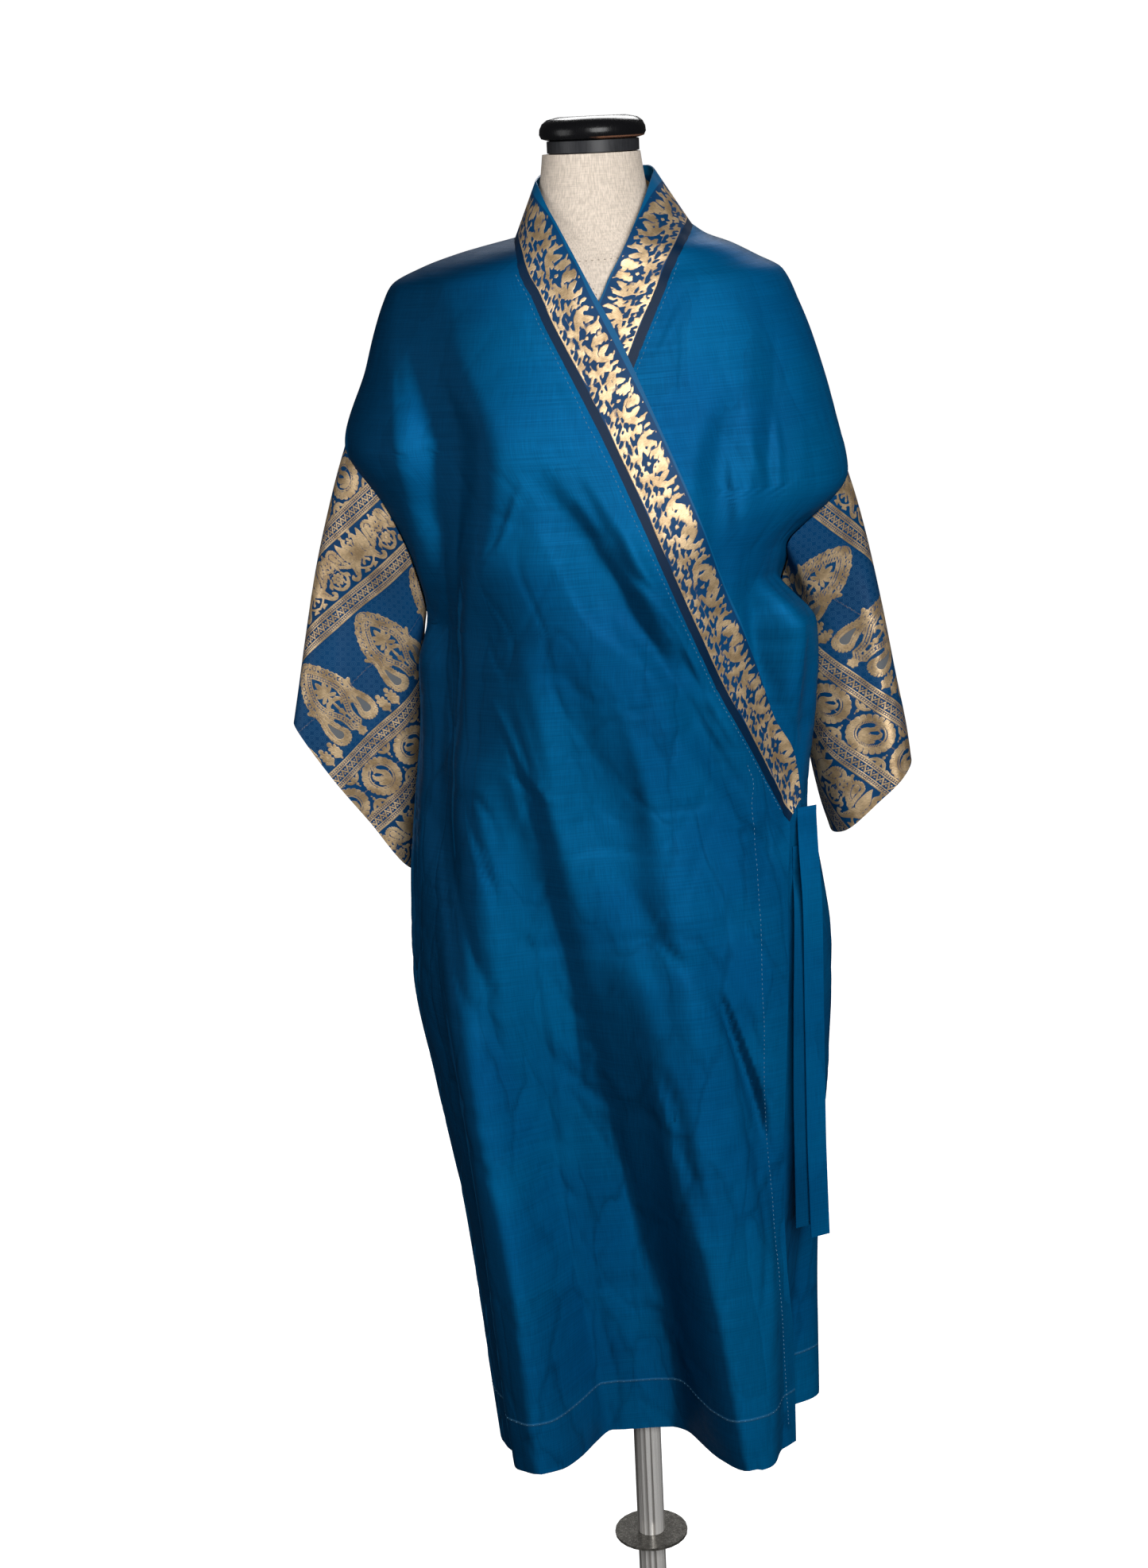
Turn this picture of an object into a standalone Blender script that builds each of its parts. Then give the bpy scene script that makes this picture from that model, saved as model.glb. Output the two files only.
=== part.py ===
"""Wrap robe in shot silk with brocade sleeves and neckband, on a limbless dress form.

Metres, +Z up, front towards -Y, viewer's right is +X. The origin is the middle of the base
plate's underside. The wearer's right front lies on top, so it is on the viewer's left.

The robe's body is one closed form: a ring at each height, given by BODY_SECTIONS, moved in and
out by the folds in FOLDS. A place on it is a turn round the ring (0 at the viewer's left side,
a quarter at the front, a half at the viewer's right side) and a height. Each panel is a range
of turns and heights on that form.
"""
import math

import bmesh
import bpy
from mathutils import Vector

# Cloth
WALL = 0.0016
SEAM_SETBACK = 0.0003
COLLAR_SETBACK = 0.0016
UNDER_LAYER = 0.0080
HEM_RECESS = 0.030
RECESS_TOP = 0.780

# Heights that the panels are cut at
HEM = 0.335
WAIST = 1.038
RIGHT_ARMPIT = 1.256
LEFT_ARMPIT = 1.270
LEFT_SEAM_TOP = 1.382
RIGHT_SEAM_TOP = 1.438
SHOULDER_TIP = 1.585
NECKLINE = 1.6287

# Rows of a panel between those heights: upper end, number of rows
PANEL_ROWS = (
    (1.000, 16),
    (RIGHT_ARMPIT, 8),
    (LEFT_ARMPIT, 1),
    (LEFT_SEAM_TOP, 7),
    (RIGHT_SEAM_TOP, 3),
    (SHOULDER_TIP, 6),
    (1.6185, 4),
    (1.6262, 2),
    (NECKLINE, 1),
)
# Columns of each panel. Where the under front lies under the upper one it keeps to that one's
# columns from SHARED_FROM on, so that their walls run side by side through the folds.
RIGHT_FRONT_COLUMNS = 17
SHARED_FROM = 5
OUTER_COLUMNS = 4
NARROWEST = 0.02
SHARED_BELOW = 1.12
EVEN_ABOVE = 1.24
BACK_COLUMNS = 16

BODY_SECTIONS = (
    # height, left, right, front, back, depth of left side, depth of right side, squareness
    (0.335, -0.163, 0.197, -0.112, 0.100, -0.010, 0.040, 2.5),
    (0.450, -0.173, 0.197, -0.118, 0.104, -0.006, 0.036, 2.5),
    (0.600, -0.186, 0.201, -0.124, 0.110, 0.000, 0.032, 2.5),
    (0.760, -0.210, 0.214, -0.130, 0.118, 0.004, 0.030, 2.5),
    (0.880, -0.226, 0.218, -0.134, 0.120, 0.006, 0.026, 2.5),
    (0.980, -0.222, 0.206, -0.132, 0.112, 0.006, 0.022, 2.5),
    (1.060, -0.208, 0.186, -0.130, 0.102, 0.006, 0.020, 2.5),
    (1.150, -0.196, 0.176, -0.136, 0.102, 0.004, 0.020, 2.4),
    (1.256, -0.184, 0.170, -0.143, 0.108, 0.000, 0.020, 2.3),
    (1.317, -0.206, 0.186, -0.144, 0.110, 0.000, 0.010, 2.3),
    (1.382, -0.236, 0.2414, -0.138, 0.110, 0.000, 0.004, 2.2),
    (1.438, -0.2595, 0.230, -0.130, 0.108, 0.000, 0.000, 2.2),
    (1.515, -0.234, 0.208, -0.112, 0.104, 0.000, 0.000, 2.2),
    (1.5465, -0.2245, 0.196, -0.104, 0.100, 0.000, 0.000, 2.2),
    (1.579, -0.212, 0.1806, -0.094, 0.094, 0.000, 0.000, 2.2),
    (1.594, -0.203, 0.156, -0.088, 0.090, 0.000, 0.000, 2.2),
    (1.608, -0.172, 0.131, -0.082, 0.084, 0.000, 0.000, 2.2),
    (1.6185, -0.134, 0.107, -0.074, 0.078, 0.000, 0.000, 2.2),
    (1.6287, -0.080, 0.093, -0.066, 0.072, 0.000, 0.000, 2.2),
)
SHOULDER_TILT = 0.035
TILT_FROM = 1.30
TILT_FULL = 1.55
HALF_GIRTH = 0.56

# Folds run down the cloth through three places. A place is a height and x on the ring; a fold
# on the back is marked by side -1. Depth is outward, so a valley is negative.
FOLDS = (
    # side, height, x, depth, height, x, depth, height, x, depth, half width, flat part
    (1, 1.150, -0.040, 0.000, 0.800, 0.006, -0.022, 0.335, -0.010, -0.080, 0.085, 0.45),
    (1, 1.080, -0.158, 0.004, 0.800, -0.147, 0.016, 0.335, -0.122, 0.024, 0.055, 0.20),
    (1, 0.760, 0.100, 0.000, 0.560, 0.104, 0.010, 0.335, 0.096, 0.024, 0.060, 0.30),
    (1, 1.540, -0.158, -0.004, 1.420, -0.118, -0.018, 1.060, -0.176, -0.010, 0.045, 0.20),
    (1, 1.420, -0.060, 0.000, 1.284, 0.001, -0.009, 1.190, 0.076, -0.003, 0.030, 0.10),
    (1, 1.260, -0.066, 0.000, 1.080, -0.024, -0.012, 0.740, 0.040, -0.004, 0.034, 0.10),
    (1, 1.200, 0.058, 0.000, 1.110, 0.100, -0.009, 1.040, 0.140, -0.003, 0.028, 0.10),
    (1, 0.960, 0.070, 0.000, 0.800, 0.118, -0.008, 0.600, 0.138, -0.003, 0.026, 0.10),
    (1, 1.290, 0.158, 0.004, 1.238, 0.160, 0.048, 1.056, 0.180, 0.014, 0.046, 0.30),
    (1, 1.250, 0.152, 0.000, 1.160, 0.165, -0.007, 1.060, 0.170, -0.004, 0.022, 0.15),
    (1, 1.480, 0.130, 0.000, 1.400, 0.112, -0.008, 1.250, 0.104, -0.003, 0.026, 0.10),
    (-1, 1.540, -0.120, -0.004, 1.350, -0.128, -0.014, 1.080, -0.120, -0.006, 0.042, 0.15),
    (-1, 1.520, 0.118, -0.004, 1.340, 0.124, -0.013, 1.060, 0.116, -0.006, 0.042, 0.15),
    (-1, 1.000, -0.060, 0.000, 0.640, -0.066, -0.020, 0.335, -0.060, -0.034, 0.055, 0.20),
    (-1, 0.960, 0.062, 0.000, 0.600, 0.070, -0.018, 0.335, 0.074, -0.038, 0.055, 0.20),
    (-1, 0.900, 0.004, 0.000, 0.600, 0.006, 0.006, 0.335, 0.008, 0.014, 0.045, 0.20),
)
FOLD_FADE = 0.10

# How far the sleeve seams open the ring at its ends, as a part of the half ring
ARMHOLE_OPENING = 0.125
# The left sleeve seam turns in behind the pouch of cloth that hangs over it
POUCH_TOP = 1.300
POUCH_SEAM = 0.25

# Seam of each front with its neckband, and the band's free edge. Above CHEST_LINE the free edge
# stands round the neck at the depth given; below it, it lies on the cloth.
CHEST_LINE = 1.590
RIGHT_BAND = (
    # seam height, seam x, free edge x, depth, height
    (1.0383, 0.1673, 0.1727, -0.0524, 1.0592),
    (1.0829, 0.1473, 0.1660, -0.0560, 1.1020),
    (1.1300, 0.1260, 0.1520, -0.0710, 1.1500),
    (1.1820, 0.1007, 0.1350, -0.0900, 1.2080),
    (1.2564, 0.0696, 0.1120, -0.1130, 1.2820),
    (1.3416, 0.0361, 0.0825, -0.1330, 1.3660),
    (1.4355, -0.0023, 0.0455, -0.1250, 1.4600),
    (1.5152, -0.0390, 0.0125, -0.1060, 1.5395),
    (1.5567, -0.0581, -0.0096, -0.0930, 1.5817),
    (1.5799, -0.0668, -0.0210, -0.0835, 1.6050),
    (1.6009, -0.0772, -0.0315, -0.0720, 1.6260),
    (1.6090, -0.0780, -0.0385, -0.0610, 1.6400),
    (1.6185, -0.0790, -0.0470, -0.0430, 1.6560),
    (1.6250, -0.0800, -0.0540, -0.0220, 1.6720),
    (1.6287, -0.0800, -0.0572, 0.0040, 1.6800),
)
LEFT_BAND = (
    # seam height, seam x, free edge x, depth, height
    (1.0383, -0.1660, -0.1720, -0.0600, 1.0600),
    (1.1300, -0.1290, -0.1530, -0.0700, 1.1500),
    (1.2564, -0.0790, -0.1200, -0.1100, 1.2820),
    (1.3416, -0.0440, -0.0900, -0.1300, 1.3660),
    (1.4355, -0.0060, -0.0520, -0.1250, 1.4600),
    (1.5058, 0.0283, -0.0210, -0.1100, 1.5330),
    (1.5482, 0.0493, 0.0010, -0.0980, 1.5740),
    (1.5655, 0.0581, 0.0090, -0.0900, 1.5900),
    (1.5868, 0.0691, 0.0180, -0.0825, 1.6060),
    (1.6059, 0.0787, 0.0300, -0.0700, 1.6280),
    (1.6185, 0.0870, 0.0420, -0.0490, 1.6510),
    (1.6250, 0.0915, 0.0520, -0.0260, 1.6720),
    (1.6287, 0.0930, 0.0590, 0.0040, 1.6860),
)
# Free edge of the collar behind the neck, from the viewer's left to the right
COLLAR_BACK = (
    # part of the way round, x, depth, height
    (0.00, -0.0572, 0.0040, 1.6800),
    (0.22, -0.0500, 0.0360, 1.6850),
    (0.50, 0.0010, 0.0640, 1.6880),
    (0.78, 0.0530, 0.0370, 1.6890),
    (1.00, 0.0590, 0.0040, 1.6860),
)
BAND_COLUMNS = 3
# How far the free edge of the upper band stands off the cloth under it
RIGHT_BAND_RISE = 0.0035
BAND_MIDDLE = 0.5

# Free edge of the upper front below the waist, and inner edge of the under front
OVERLAP_EDGE = (
    # height, x
    (0.335, 0.1600),
    (0.450, 0.1600),
    (0.555, 0.1536),
    (0.660, 0.1515),
    (0.750, 0.1553),
    (0.890, 0.1617),
    (1.000, 0.1641),
    (1.0383, 0.1673),
)
UNDER_EDGE = (
    # height, x
    (0.335, -0.1150),
    (0.700, -0.1500),
    (0.950, -0.1620),
    (1.0383, -0.1660),
)

# Sleeves: the fold lines that the flat tube hangs between
RIGHT_SLEEVE = (
    # part of its length, outer x, depth, height, inner x, depth, height, half depth
    (0.00, -0.2595, 0.000, 1.4380, -0.1840, 0.000, 1.2560, 0.048),
    (0.10, -0.2700, 0.000, 1.4080, -0.1895, 0.018, 1.2280, 0.045),
    (0.24, -0.2830, 0.002, 1.3650, -0.1945, 0.032, 1.1900, 0.040),
    (0.45, -0.2995, 0.004, 1.3040, -0.1995, 0.038, 1.1340, 0.036),
    (0.70, -0.3155, 0.006, 1.2330, -0.2080, 0.040, 1.0640, 0.034),
    (0.88, -0.3260, 0.008, 1.1830, -0.2170, 0.042, 1.0120, 0.032),
    (1.00, -0.3335, 0.008, 1.1480, -0.2235, 0.042, 0.9750, 0.031),
)
LEFT_SLEEVE = (
    # part of its length, outer x, depth, height, inner x, depth, height, half depth
    (0.00, 0.2414, 0.004, 1.3820, 0.1700, 0.020, 1.2700, 0.050),
    (0.10, 0.2500, 0.006, 1.3540, 0.1790, 0.036, 1.2440, 0.046),
    (0.24, 0.2610, 0.010, 1.3120, 0.1880, 0.050, 1.2080, 0.044),
    (0.45, 0.2755, 0.014, 1.2440, 0.1960, 0.058, 1.1560, 0.048),
    (0.70, 0.2895, 0.018, 1.1680, 0.2025, 0.056, 1.0860, 0.053),
    (0.88, 0.3000, 0.020, 1.1130, 0.2130, 0.050, 1.0300, 0.057),
    (1.00, 0.3045, 0.020, 1.0780, 0.2230, 0.046, 0.9960, 0.058),
)
# The sleeve's seam edge stands off the body by this much round the armpit, where it folds back
ARMPIT_STANDOFF = 0.0026
SLEEVE_STEPS = (0.0, 0.05, 0.12, 0.22, 0.36, 0.50, 0.64, 0.78, 0.90, 1.0)
SLEEVE_BLEND = 0.45
SLEEVE_SQUARENESS = 0.80
SLEEVE_FOLDS = (
    # sleeve, part round where it starts, part where it ends, depth, half width
    (-1, 0.20, 0.30, -0.007, 0.10),
    (-1, 0.34, 0.40, 0.005, 0.09),
    (-1, 0.70, 0.66, -0.008, 0.10),
    (1, 0.18, 0.24, -0.006, 0.10),
    (1, 0.36, 0.38, 0.006, 0.08),
    (1, 0.72, 0.68, -0.008, 0.10),
)

# Ties rest on the cloth at the waist and hang down in front of it, turned a little with the body
TIE_WIDTH = 0.0225
TIE_TURN = 0.45
FRONT_TIE_CLEARANCE = 0.0011
UNDER_TIE_CLEARANCE = 0.0018
FRONT_TIE = (
    # height, x of its inner edge, depth where it hangs free
    (0.5850, 0.1800, -0.0880),
    (0.6240, 0.1790, -0.0905),
    (0.7170, 0.1775, -0.0950),
    (0.8370, 0.1775, -0.0985),
    (0.9500, 0.1785, -0.0935),
    (1.0190, 0.1770, -0.0760),
    (1.0480, 0.1785, -0.0500),
)
UNDER_TIE = (
    # height, x of its inner edge, depth where it hangs free
    (0.5980, 0.1640, -0.0900),
    (0.7200, 0.1640, -0.0960),
    (0.8400, 0.1660, -0.0990),
    (0.9500, 0.1700, -0.0880),
    (1.0120, 0.1715, -0.0500),
)
TIE_STEPS = 12
TIE_BEHIND = (0.72, 1.0, 60)

# Dress form. Its shoulders follow the cloth that they carry, with a little ease.
SHOULDER_EASE = 0.0036
FORM_SECTIONS = (
    # height, half width, front, back, squareness
    (0.800, 0.120, -0.068, 0.080, 2.2),
    (0.815, 0.134, -0.076, 0.090, 2.2),
    (0.860, 0.150, -0.086, 0.102, 2.2),
    (0.930, 0.155, -0.092, 0.100, 2.2),
    (1.000, 0.140, -0.088, 0.084, 2.2),
    (1.060, 0.122, -0.084, 0.074, 2.2),
    (1.130, 0.126, -0.092, 0.078, 2.2),
    (1.210, 0.136, -0.104, 0.086, 2.2),
    (1.290, 0.144, -0.112, 0.090, 2.2),
    (1.370, 0.154, -0.112, 0.094, 2.2),
    (1.450, 0.164, -0.104, 0.090, 2.2),
    (1.520, 0.178, -0.094, 0.086, 2.2),
    (1.560, 0.187, -0.086, 0.080, 2.2),
    (1.585, 0.190, -0.080, 0.074, 2.2),
    (1.600, 0.180, -0.076, 0.070, 2.2),
    (1.612, 0.140, -0.0700, 0.0640, 2.1),
    (1.621, 0.088, -0.0665, 0.0605, 2.1),
    (1.633, 0.0640, -0.0620, 0.0580, 2.0),
    (1.655, 0.0560, -0.0570, 0.0540, 2.0),
    (1.680, 0.0510, -0.0520, 0.0510, 2.0),
    (1.704, 0.0478, -0.0490, 0.0490, 2.0),
)
FORM_SIDES = 26
FORM_NECK_SHIFT = -0.002

# Neck cap, pole, disc and base: radius at each height, from the bottom up
CAP_RING_PROFILE = ((0.0430, 1.7045), (0.0450, 1.7050), (0.0450, 1.7160), (0.0430, 1.7165))
CAP_BUN_PROFILE = (
    (0.0440, 1.7168), (0.0500, 1.7185), (0.0520, 1.7225), (0.0515, 1.7275),
    (0.0490, 1.7325), (0.0440, 1.7362), (0.0330, 1.7385),
)
POLE_RADIUS = 0.0152
POLE_TOP = 0.7997
DISC_RADIUS = 0.0410
DISC_HEIGHT = 0.1890
DISC_WALL = 0.0030
DISC_GAP = 0.0003
BASE_PROFILE = ((0.1800, 0.0), (0.1800, 0.0070), (0.1770, 0.0100), (0.0240, 0.0140))
SOCKET_PROFILE = ((0.0240, 0.0143), (0.0240, 0.0400), (0.0215, 0.0430))
ROUND_SIDES = 24


def smoothstep(low, high, value):
    part = min(max((value - low) / (high - low), 0.0), 1.0)
    return part * part * (3.0 - 2.0 * part)


def blend(first, second, part):
    return first + (second - first) * part


def slope_at(table, column, index):
    """Slope of a column at a row, flat where the column turns, so that it never overshoots."""
    if index in (0, len(table) - 1):
        near = 0 if index == 0 else index - 1
        run = table[near + 1][0] - table[near][0]
        return (table[near + 1][column] - table[near][column]) / run
    before = (table[index][column] - table[index - 1][column]) / (table[index][0] - table[index - 1][0])
    after = (table[index + 1][column] - table[index][column]) / (table[index + 1][0] - table[index][0])
    if before * after <= 0.0:
        return 0.0
    return 2.0 * before * after / (before + after)


def read_table(table, key):
    """Values of a table's columns between its rows, on smooth curves."""
    key = min(max(key, table[0][0]), table[-1][0])
    index = 0
    while index < len(table) - 2 and key > table[index + 1][0]:
        index += 1
    run = table[index + 1][0] - table[index][0]
    part = (key - table[index][0]) / run
    square, cube = part * part, part * part * part
    values = []
    for column in range(1, len(table[0])):
        low, high = table[index][column], table[index + 1][column]
        low_slope = slope_at(table, column, index) * run
        high_slope = slope_at(table, column, index + 1) * run
        value = (2 * cube - 3 * square + 1) * low + (cube - 2 * square + part) * low_slope
        value += (3 * square - 2 * cube) * high + (cube - square) * high_slope
        values.append(value)
    return values


def half_ring_place(x, height):
    """Part of the half ring, 0 at the viewer's left and 1 at the right, where the ring has this x."""
    left, right, _, _, _, _, squareness = read_table(BODY_SECTIONS, height)
    across = (0.5 * (left + right) - x) / (0.5 * (right - left))
    across = min(max(across, -1.0), 1.0)
    cosine = math.copysign(abs(across) ** (squareness / 2.0), across)
    return math.acos(cosine) / math.pi


def fold_depth(front, place, height):
    """Sum of the folds at a place on the half ring, faded out where the front meets the back."""
    total = 0.0
    for side, top, top_x, top_depth, mid, mid_x, mid_depth, low, low_x, low_depth, width, flat in FOLDS:
        if (side > 0) != front or height > top + FOLD_FADE:
            continue
        if height < low - FOLD_FADE:
            continue
        path = ((low, low_x, low_depth), (mid, mid_x, mid_depth), (top, top_x, top_depth))
        x, depth = read_table(path, height)
        fade = smoothstep(top + FOLD_FADE, top, height)
        if low > HEM:
            fade *= smoothstep(low - FOLD_FADE, low, height)
        away = abs(place - half_ring_place(x, height)) * HALF_GIRTH / width
        total += depth * fade * (1.0 - smoothstep(flat, 1.0, away))
    return total * smoothstep(0.0, 0.06, place) * smoothstep(1.0, 0.985, place)


def body_point(front, place, height, lift=0.0):
    """Point of the robe's form on its front or back half ring."""
    left, right, fore, aft, left_depth, right_depth, squareness = read_table(BODY_SECTIONS, height)
    cosine = math.cos(math.pi * place)
    sine = math.sin(math.pi * place)
    power = 2.0 / squareness
    half = 0.5 * (right - left)
    x = 0.5 * (left + right) - half * math.copysign(abs(cosine) ** power, cosine)
    middle = left_depth if cosine > 0.0 else right_depth
    end = fore if front else aft
    y = middle + (end - middle) * abs(sine) ** power
    depth = abs(end - middle)
    facing = Vector((-cosine * depth, -sine * half if front else sine * half, 0.0)).normalized()
    out = facing * (fold_depth(front, place, height) + lift)
    point = Vector((x, y, 0.0)) + out
    point.z = height + SHOULDER_TILT * point.x * smoothstep(TILT_FROM, TILT_FULL, height)
    return point


def under_lift(place, height):
    """How far the under front lies inside the upper one; nothing at its side seam and neck.

    Beside the overlap it also falls back towards the hem.
    """
    high = smoothstep(1.25, 1.45, height)
    sideways = smoothstep(blend(1.0, 0.84, high), blend(0.88, 0.60, high), place)
    upward = smoothstep(1.622, 1.588, height)
    recess = smoothstep(RECESS_TOP, HEM, height) * smoothstep(0.70, 0.86, place)
    recess *= smoothstep(1.0, 0.93, place)
    return -UNDER_LAYER * sideways * upward - HEM_RECESS * recess


def right_seam_place(height):
    """Half ring place of the upper front's inner edge: neckband seam, then the overlap edge."""
    table = OVERLAP_EDGE if height < WAIST else RIGHT_BAND
    return half_ring_place(read_table(table, height)[0], height)


def left_seam_place(height):
    table = UNDER_EDGE if height < WAIST else LEFT_BAND
    return half_ring_place(read_table(table, height)[0], height)


def armhole_place(side, front, height):
    """Part of the half ring that the sleeve seam takes from the side, at this height."""
    low, high = (RIGHT_ARMPIT, RIGHT_SEAM_TOP) if side < 0 else (LEFT_ARMPIT, LEFT_SEAM_TOP)
    if height <= low or height >= high:
        return 0.0
    part = (height - low) / (high - low)
    opening = ARMHOLE_OPENING * math.sqrt(math.sin(math.pi * part))
    if front and side > 0:
        opening *= blend(POUCH_SEAM, 1.0, smoothstep(POUCH_TOP - 0.02, POUCH_TOP + 0.03, height))
    return opening


def row_heights():
    heights = [HEM]
    for upper, rows in PANEL_ROWS:
        lower = heights[-1]
        heights += [blend(lower, upper, (row + 1) / rows) for row in range(rows)]
    return heights


def grid_normals(grid, wrap):
    """Normals of a grid of points, from its neighbouring points."""
    rows, columns = len(grid), len(grid[0])
    normals = []
    for row in range(rows):
        line = []
        for column in range(columns):
            above, below = grid[min(row + 1, rows - 1)], grid[max(row - 1, 0)]
            if wrap:
                after, before = grid[row][(column + 1) % columns], grid[row][column - 1]
            else:
                after, before = grid[row][min(column + 1, columns - 1)], grid[row][max(column - 1, 0)]
            line.append((after - before).cross(above[column] - below[column]).normalized())
        normals.append(line)
    return normals


def set_back(grid, ends, amount):
    """Move the outermost columns or rows of a grid a little towards its inside."""
    for edge in ends:
        if edge in ("first column", "last column"):
            at, near = (0, 1) if edge == "first column" else (-1, -2)
            for line in grid:
                line[at] = line[at] + (line[near] - line[at]).normalized() * amount
        else:
            at, near = (0, 1) if edge == "first row" else (-1, -2)
            grid[at] = [
                point + (inner - point).normalized() * amount
                for point, inner in zip(grid[at], grid[near])
            ]


def material(name, colour, roughness, metallic=0.0):
    """A plain surface in the photograph's colour."""
    made = bpy.data.materials.new(name)
    made.use_nodes = True
    shader = made.node_tree.nodes["Principled BSDF"]
    shader.inputs["Base Color"].default_value = (*colour, 1.0)
    shader.inputs["Roughness"].default_value = roughness
    shader.inputs["Metallic"].default_value = metallic
    return made


def add_object(name, mesh, surface):
    mesh.materials.append(surface)
    thing = bpy.data.objects.new(name, mesh)
    bpy.context.scene.collection.objects.link(thing)
    return thing


def add_wall(name, grid, normals, surface, wrap=False):
    """Closed cloth wall round a grid of middle points; normals point out of the garment."""
    rows, columns = len(grid), len(grid[0])
    shell = bmesh.new()
    layers = []
    for side in (0.5, -0.5):
        layers.append([
            [shell.verts.new(point + normal * side * WALL) for point, normal in zip(*pair)]
            for pair in zip(grid, normals)
        ])
    outer, inner = layers
    last = columns if wrap else columns - 1
    for row in range(rows - 1):
        for column in range(last):
            after = (column + 1) % columns
            for layer, flip in ((outer, False), (inner, True)):
                lower, upper = layer[row], layer[row + 1]
                corners = [lower[column], lower[after], upper[after], upper[column]]
                for triangle in ((0, 1, 2), (0, 2, 3)):
                    picked = [corners[index] for index in triangle]
                    shell.faces.new(picked[::-1] if flip else picked)
    for column in range(last):
        after = (column + 1) % columns
        shell.faces.new((inner[0][column], inner[0][after], outer[0][after], outer[0][column]))
        shell.faces.new((outer[-1][column], outer[-1][after], inner[-1][after], inner[-1][column]))
    if not wrap:
        for row in range(rows - 1):
            shell.faces.new((outer[row][0], outer[row + 1][0], inner[row + 1][0], inner[row][0]))
            shell.faces.new((inner[row][-1], inner[row + 1][-1], outer[row + 1][-1], outer[row][-1]))
    bmesh.ops.triangulate(shell, faces=[face for face in shell.faces if len(face.verts) > 3])
    mesh = bpy.data.meshes.new(name)
    shell.to_mesh(mesh)
    shell.free()
    mesh.shade_smooth()
    return add_object(name, mesh, surface)


def add_rings(name, rings, surface):
    """Closed solid through rings of points, bottom ring first, with flat ends."""
    solid = bmesh.new()
    layers = [[solid.verts.new(point) for point in ring] for ring in rings]
    count = len(rings[0])
    for lower, upper in zip(layers, layers[1:]):
        for index in range(count):
            after = (index + 1) % count
            solid.faces.new((lower[index], lower[after], upper[after], upper[index]))
    solid.faces.new(layers[0][::-1])
    solid.faces.new(layers[-1])
    mesh = bpy.data.meshes.new(name)
    solid.to_mesh(mesh)
    solid.free()
    mesh.shade_smooth()
    mesh.set_sharp_from_angle(angle=math.radians(35.0))
    return add_object(name, mesh, surface)


def turned_rings(profile, x=0.0, sides=ROUND_SIDES):
    """Rings of a turned piece, from its radius and height at each step."""
    rings = []
    for radius, height in profile:
        angles = [2.0 * math.pi * index / sides for index in range(sides)]
        rings.append([Vector((x + radius * math.cos(a), radius * math.sin(a), height)) for a in angles])
    return rings


def body_normal(front, place, height, lift):
    """Outward normal of the robe's form, the same for two panels that share a seam."""
    step = 0.004
    around = Vector((0.0, 0.0, 0.0))
    for sign in (1.0, -1.0):
        at = place + sign * step
        half, spot = (front, at) if 0.0 <= at <= 1.0 else (not front, -at if at < 0.0 else 2.0 - at)
        around += sign * body_point(half, spot, height, lift)
    rise = body_point(front, place, min(height + step, NECKLINE), lift)
    rise -= body_point(front, place, height - step, lift)
    normal = around.cross(rise)
    return (normal if front else -normal).normalized()


def panel(name, front, places_at, surface, lift_at, heights):
    """Panel through the given places on the half ring at each height."""
    grid, normals = [], []
    for height in heights:
        line, line_normals = [], []
        for place in places_at(height):
            lift = lift_at(place, height)
            line.append(body_point(front, place, height, lift))
            line_normals.append(body_normal(front, place, height, lift))
        grid.append(line)
        normals.append(line_normals)
    set_back(grid, ("first column", "last column"), SEAM_SETBACK)
    if not front:
        grid = [line[::-1] for line in grid]
        normals = [line[::-1] for line in normals]
    return add_wall(name, grid, normals, surface)


def no_lift(place, height):
    return 0.0


def evenly(start, end, columns):
    return [blend(start, end, column / columns) for column in range(columns + 1)]


def right_front_places(height):
    start = armhole_place(-1, True, height)
    return evenly(start, right_seam_place(height), RIGHT_FRONT_COLUMNS)


def left_front_places(height):
    """Keeps to the upper front's columns below, and spreads evenly on the chest."""
    inner, side = left_seam_place(height), 1.0 - armhole_place(1, True, height)
    upper = right_front_places(height)[SHARED_FROM:]
    shared = [max(place, inner + NARROWEST * index) for index, place in enumerate(upper)]
    shared[0] = inner
    shared += evenly(shared[-1], side, OUTER_COLUMNS)[1:]
    even = evenly(inner, side, len(shared) - 1)
    change = smoothstep(SHARED_BELOW, EVEN_ABOVE, height)
    return [blend(first, second, change) for first, second in zip(shared, even)]


def back_places(height):
    start = armhole_place(-1, False, height)
    return evenly(start, 1.0 - armhole_place(1, False, height), BACK_COLUMNS)


def build_body(silk):
    heights = row_heights()
    panel("right_front", True, right_front_places, silk, no_lift, heights[:-1])
    panel("left_front", True, left_front_places, silk, under_lift, heights[:-1])
    panel("back", False, back_places, silk, no_lift, heights)


def armhole_ring(side):
    """Points of the sleeve seam, from its top down the front and up the back."""
    low, high = (RIGHT_ARMPIT, RIGHT_SEAM_TOP) if side < 0 else (LEFT_ARMPIT, LEFT_SEAM_TOP)
    heights = [height for height in row_heights() if low - 1e-6 < height < high + 1e-6]
    ring, normals = [], []
    for front, order in ((True, heights[::-1]), (False, heights[1:-1])):
        for height in order:
            place = armhole_place(side, front, height)
            if side > 0:
                place = 1.0 - place
            lift = under_lift(place, height) if front and side > 0 else 0.0
            ring.append(body_point(front, place, height, lift))
            normals.append(body_normal(front, place, height, lift))
    return ring, normals


def sleeve_fold(side, around, part):
    total = 0.0
    for owner, start, end, depth, width in SLEEVE_FOLDS:
        if owner == side:
            away = abs(around - blend(start, end, part)) / width
            total += depth * (1.0 - smoothstep(0.0, 1.0, away))
    return total * smoothstep(0.05, 0.4, part)


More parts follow.
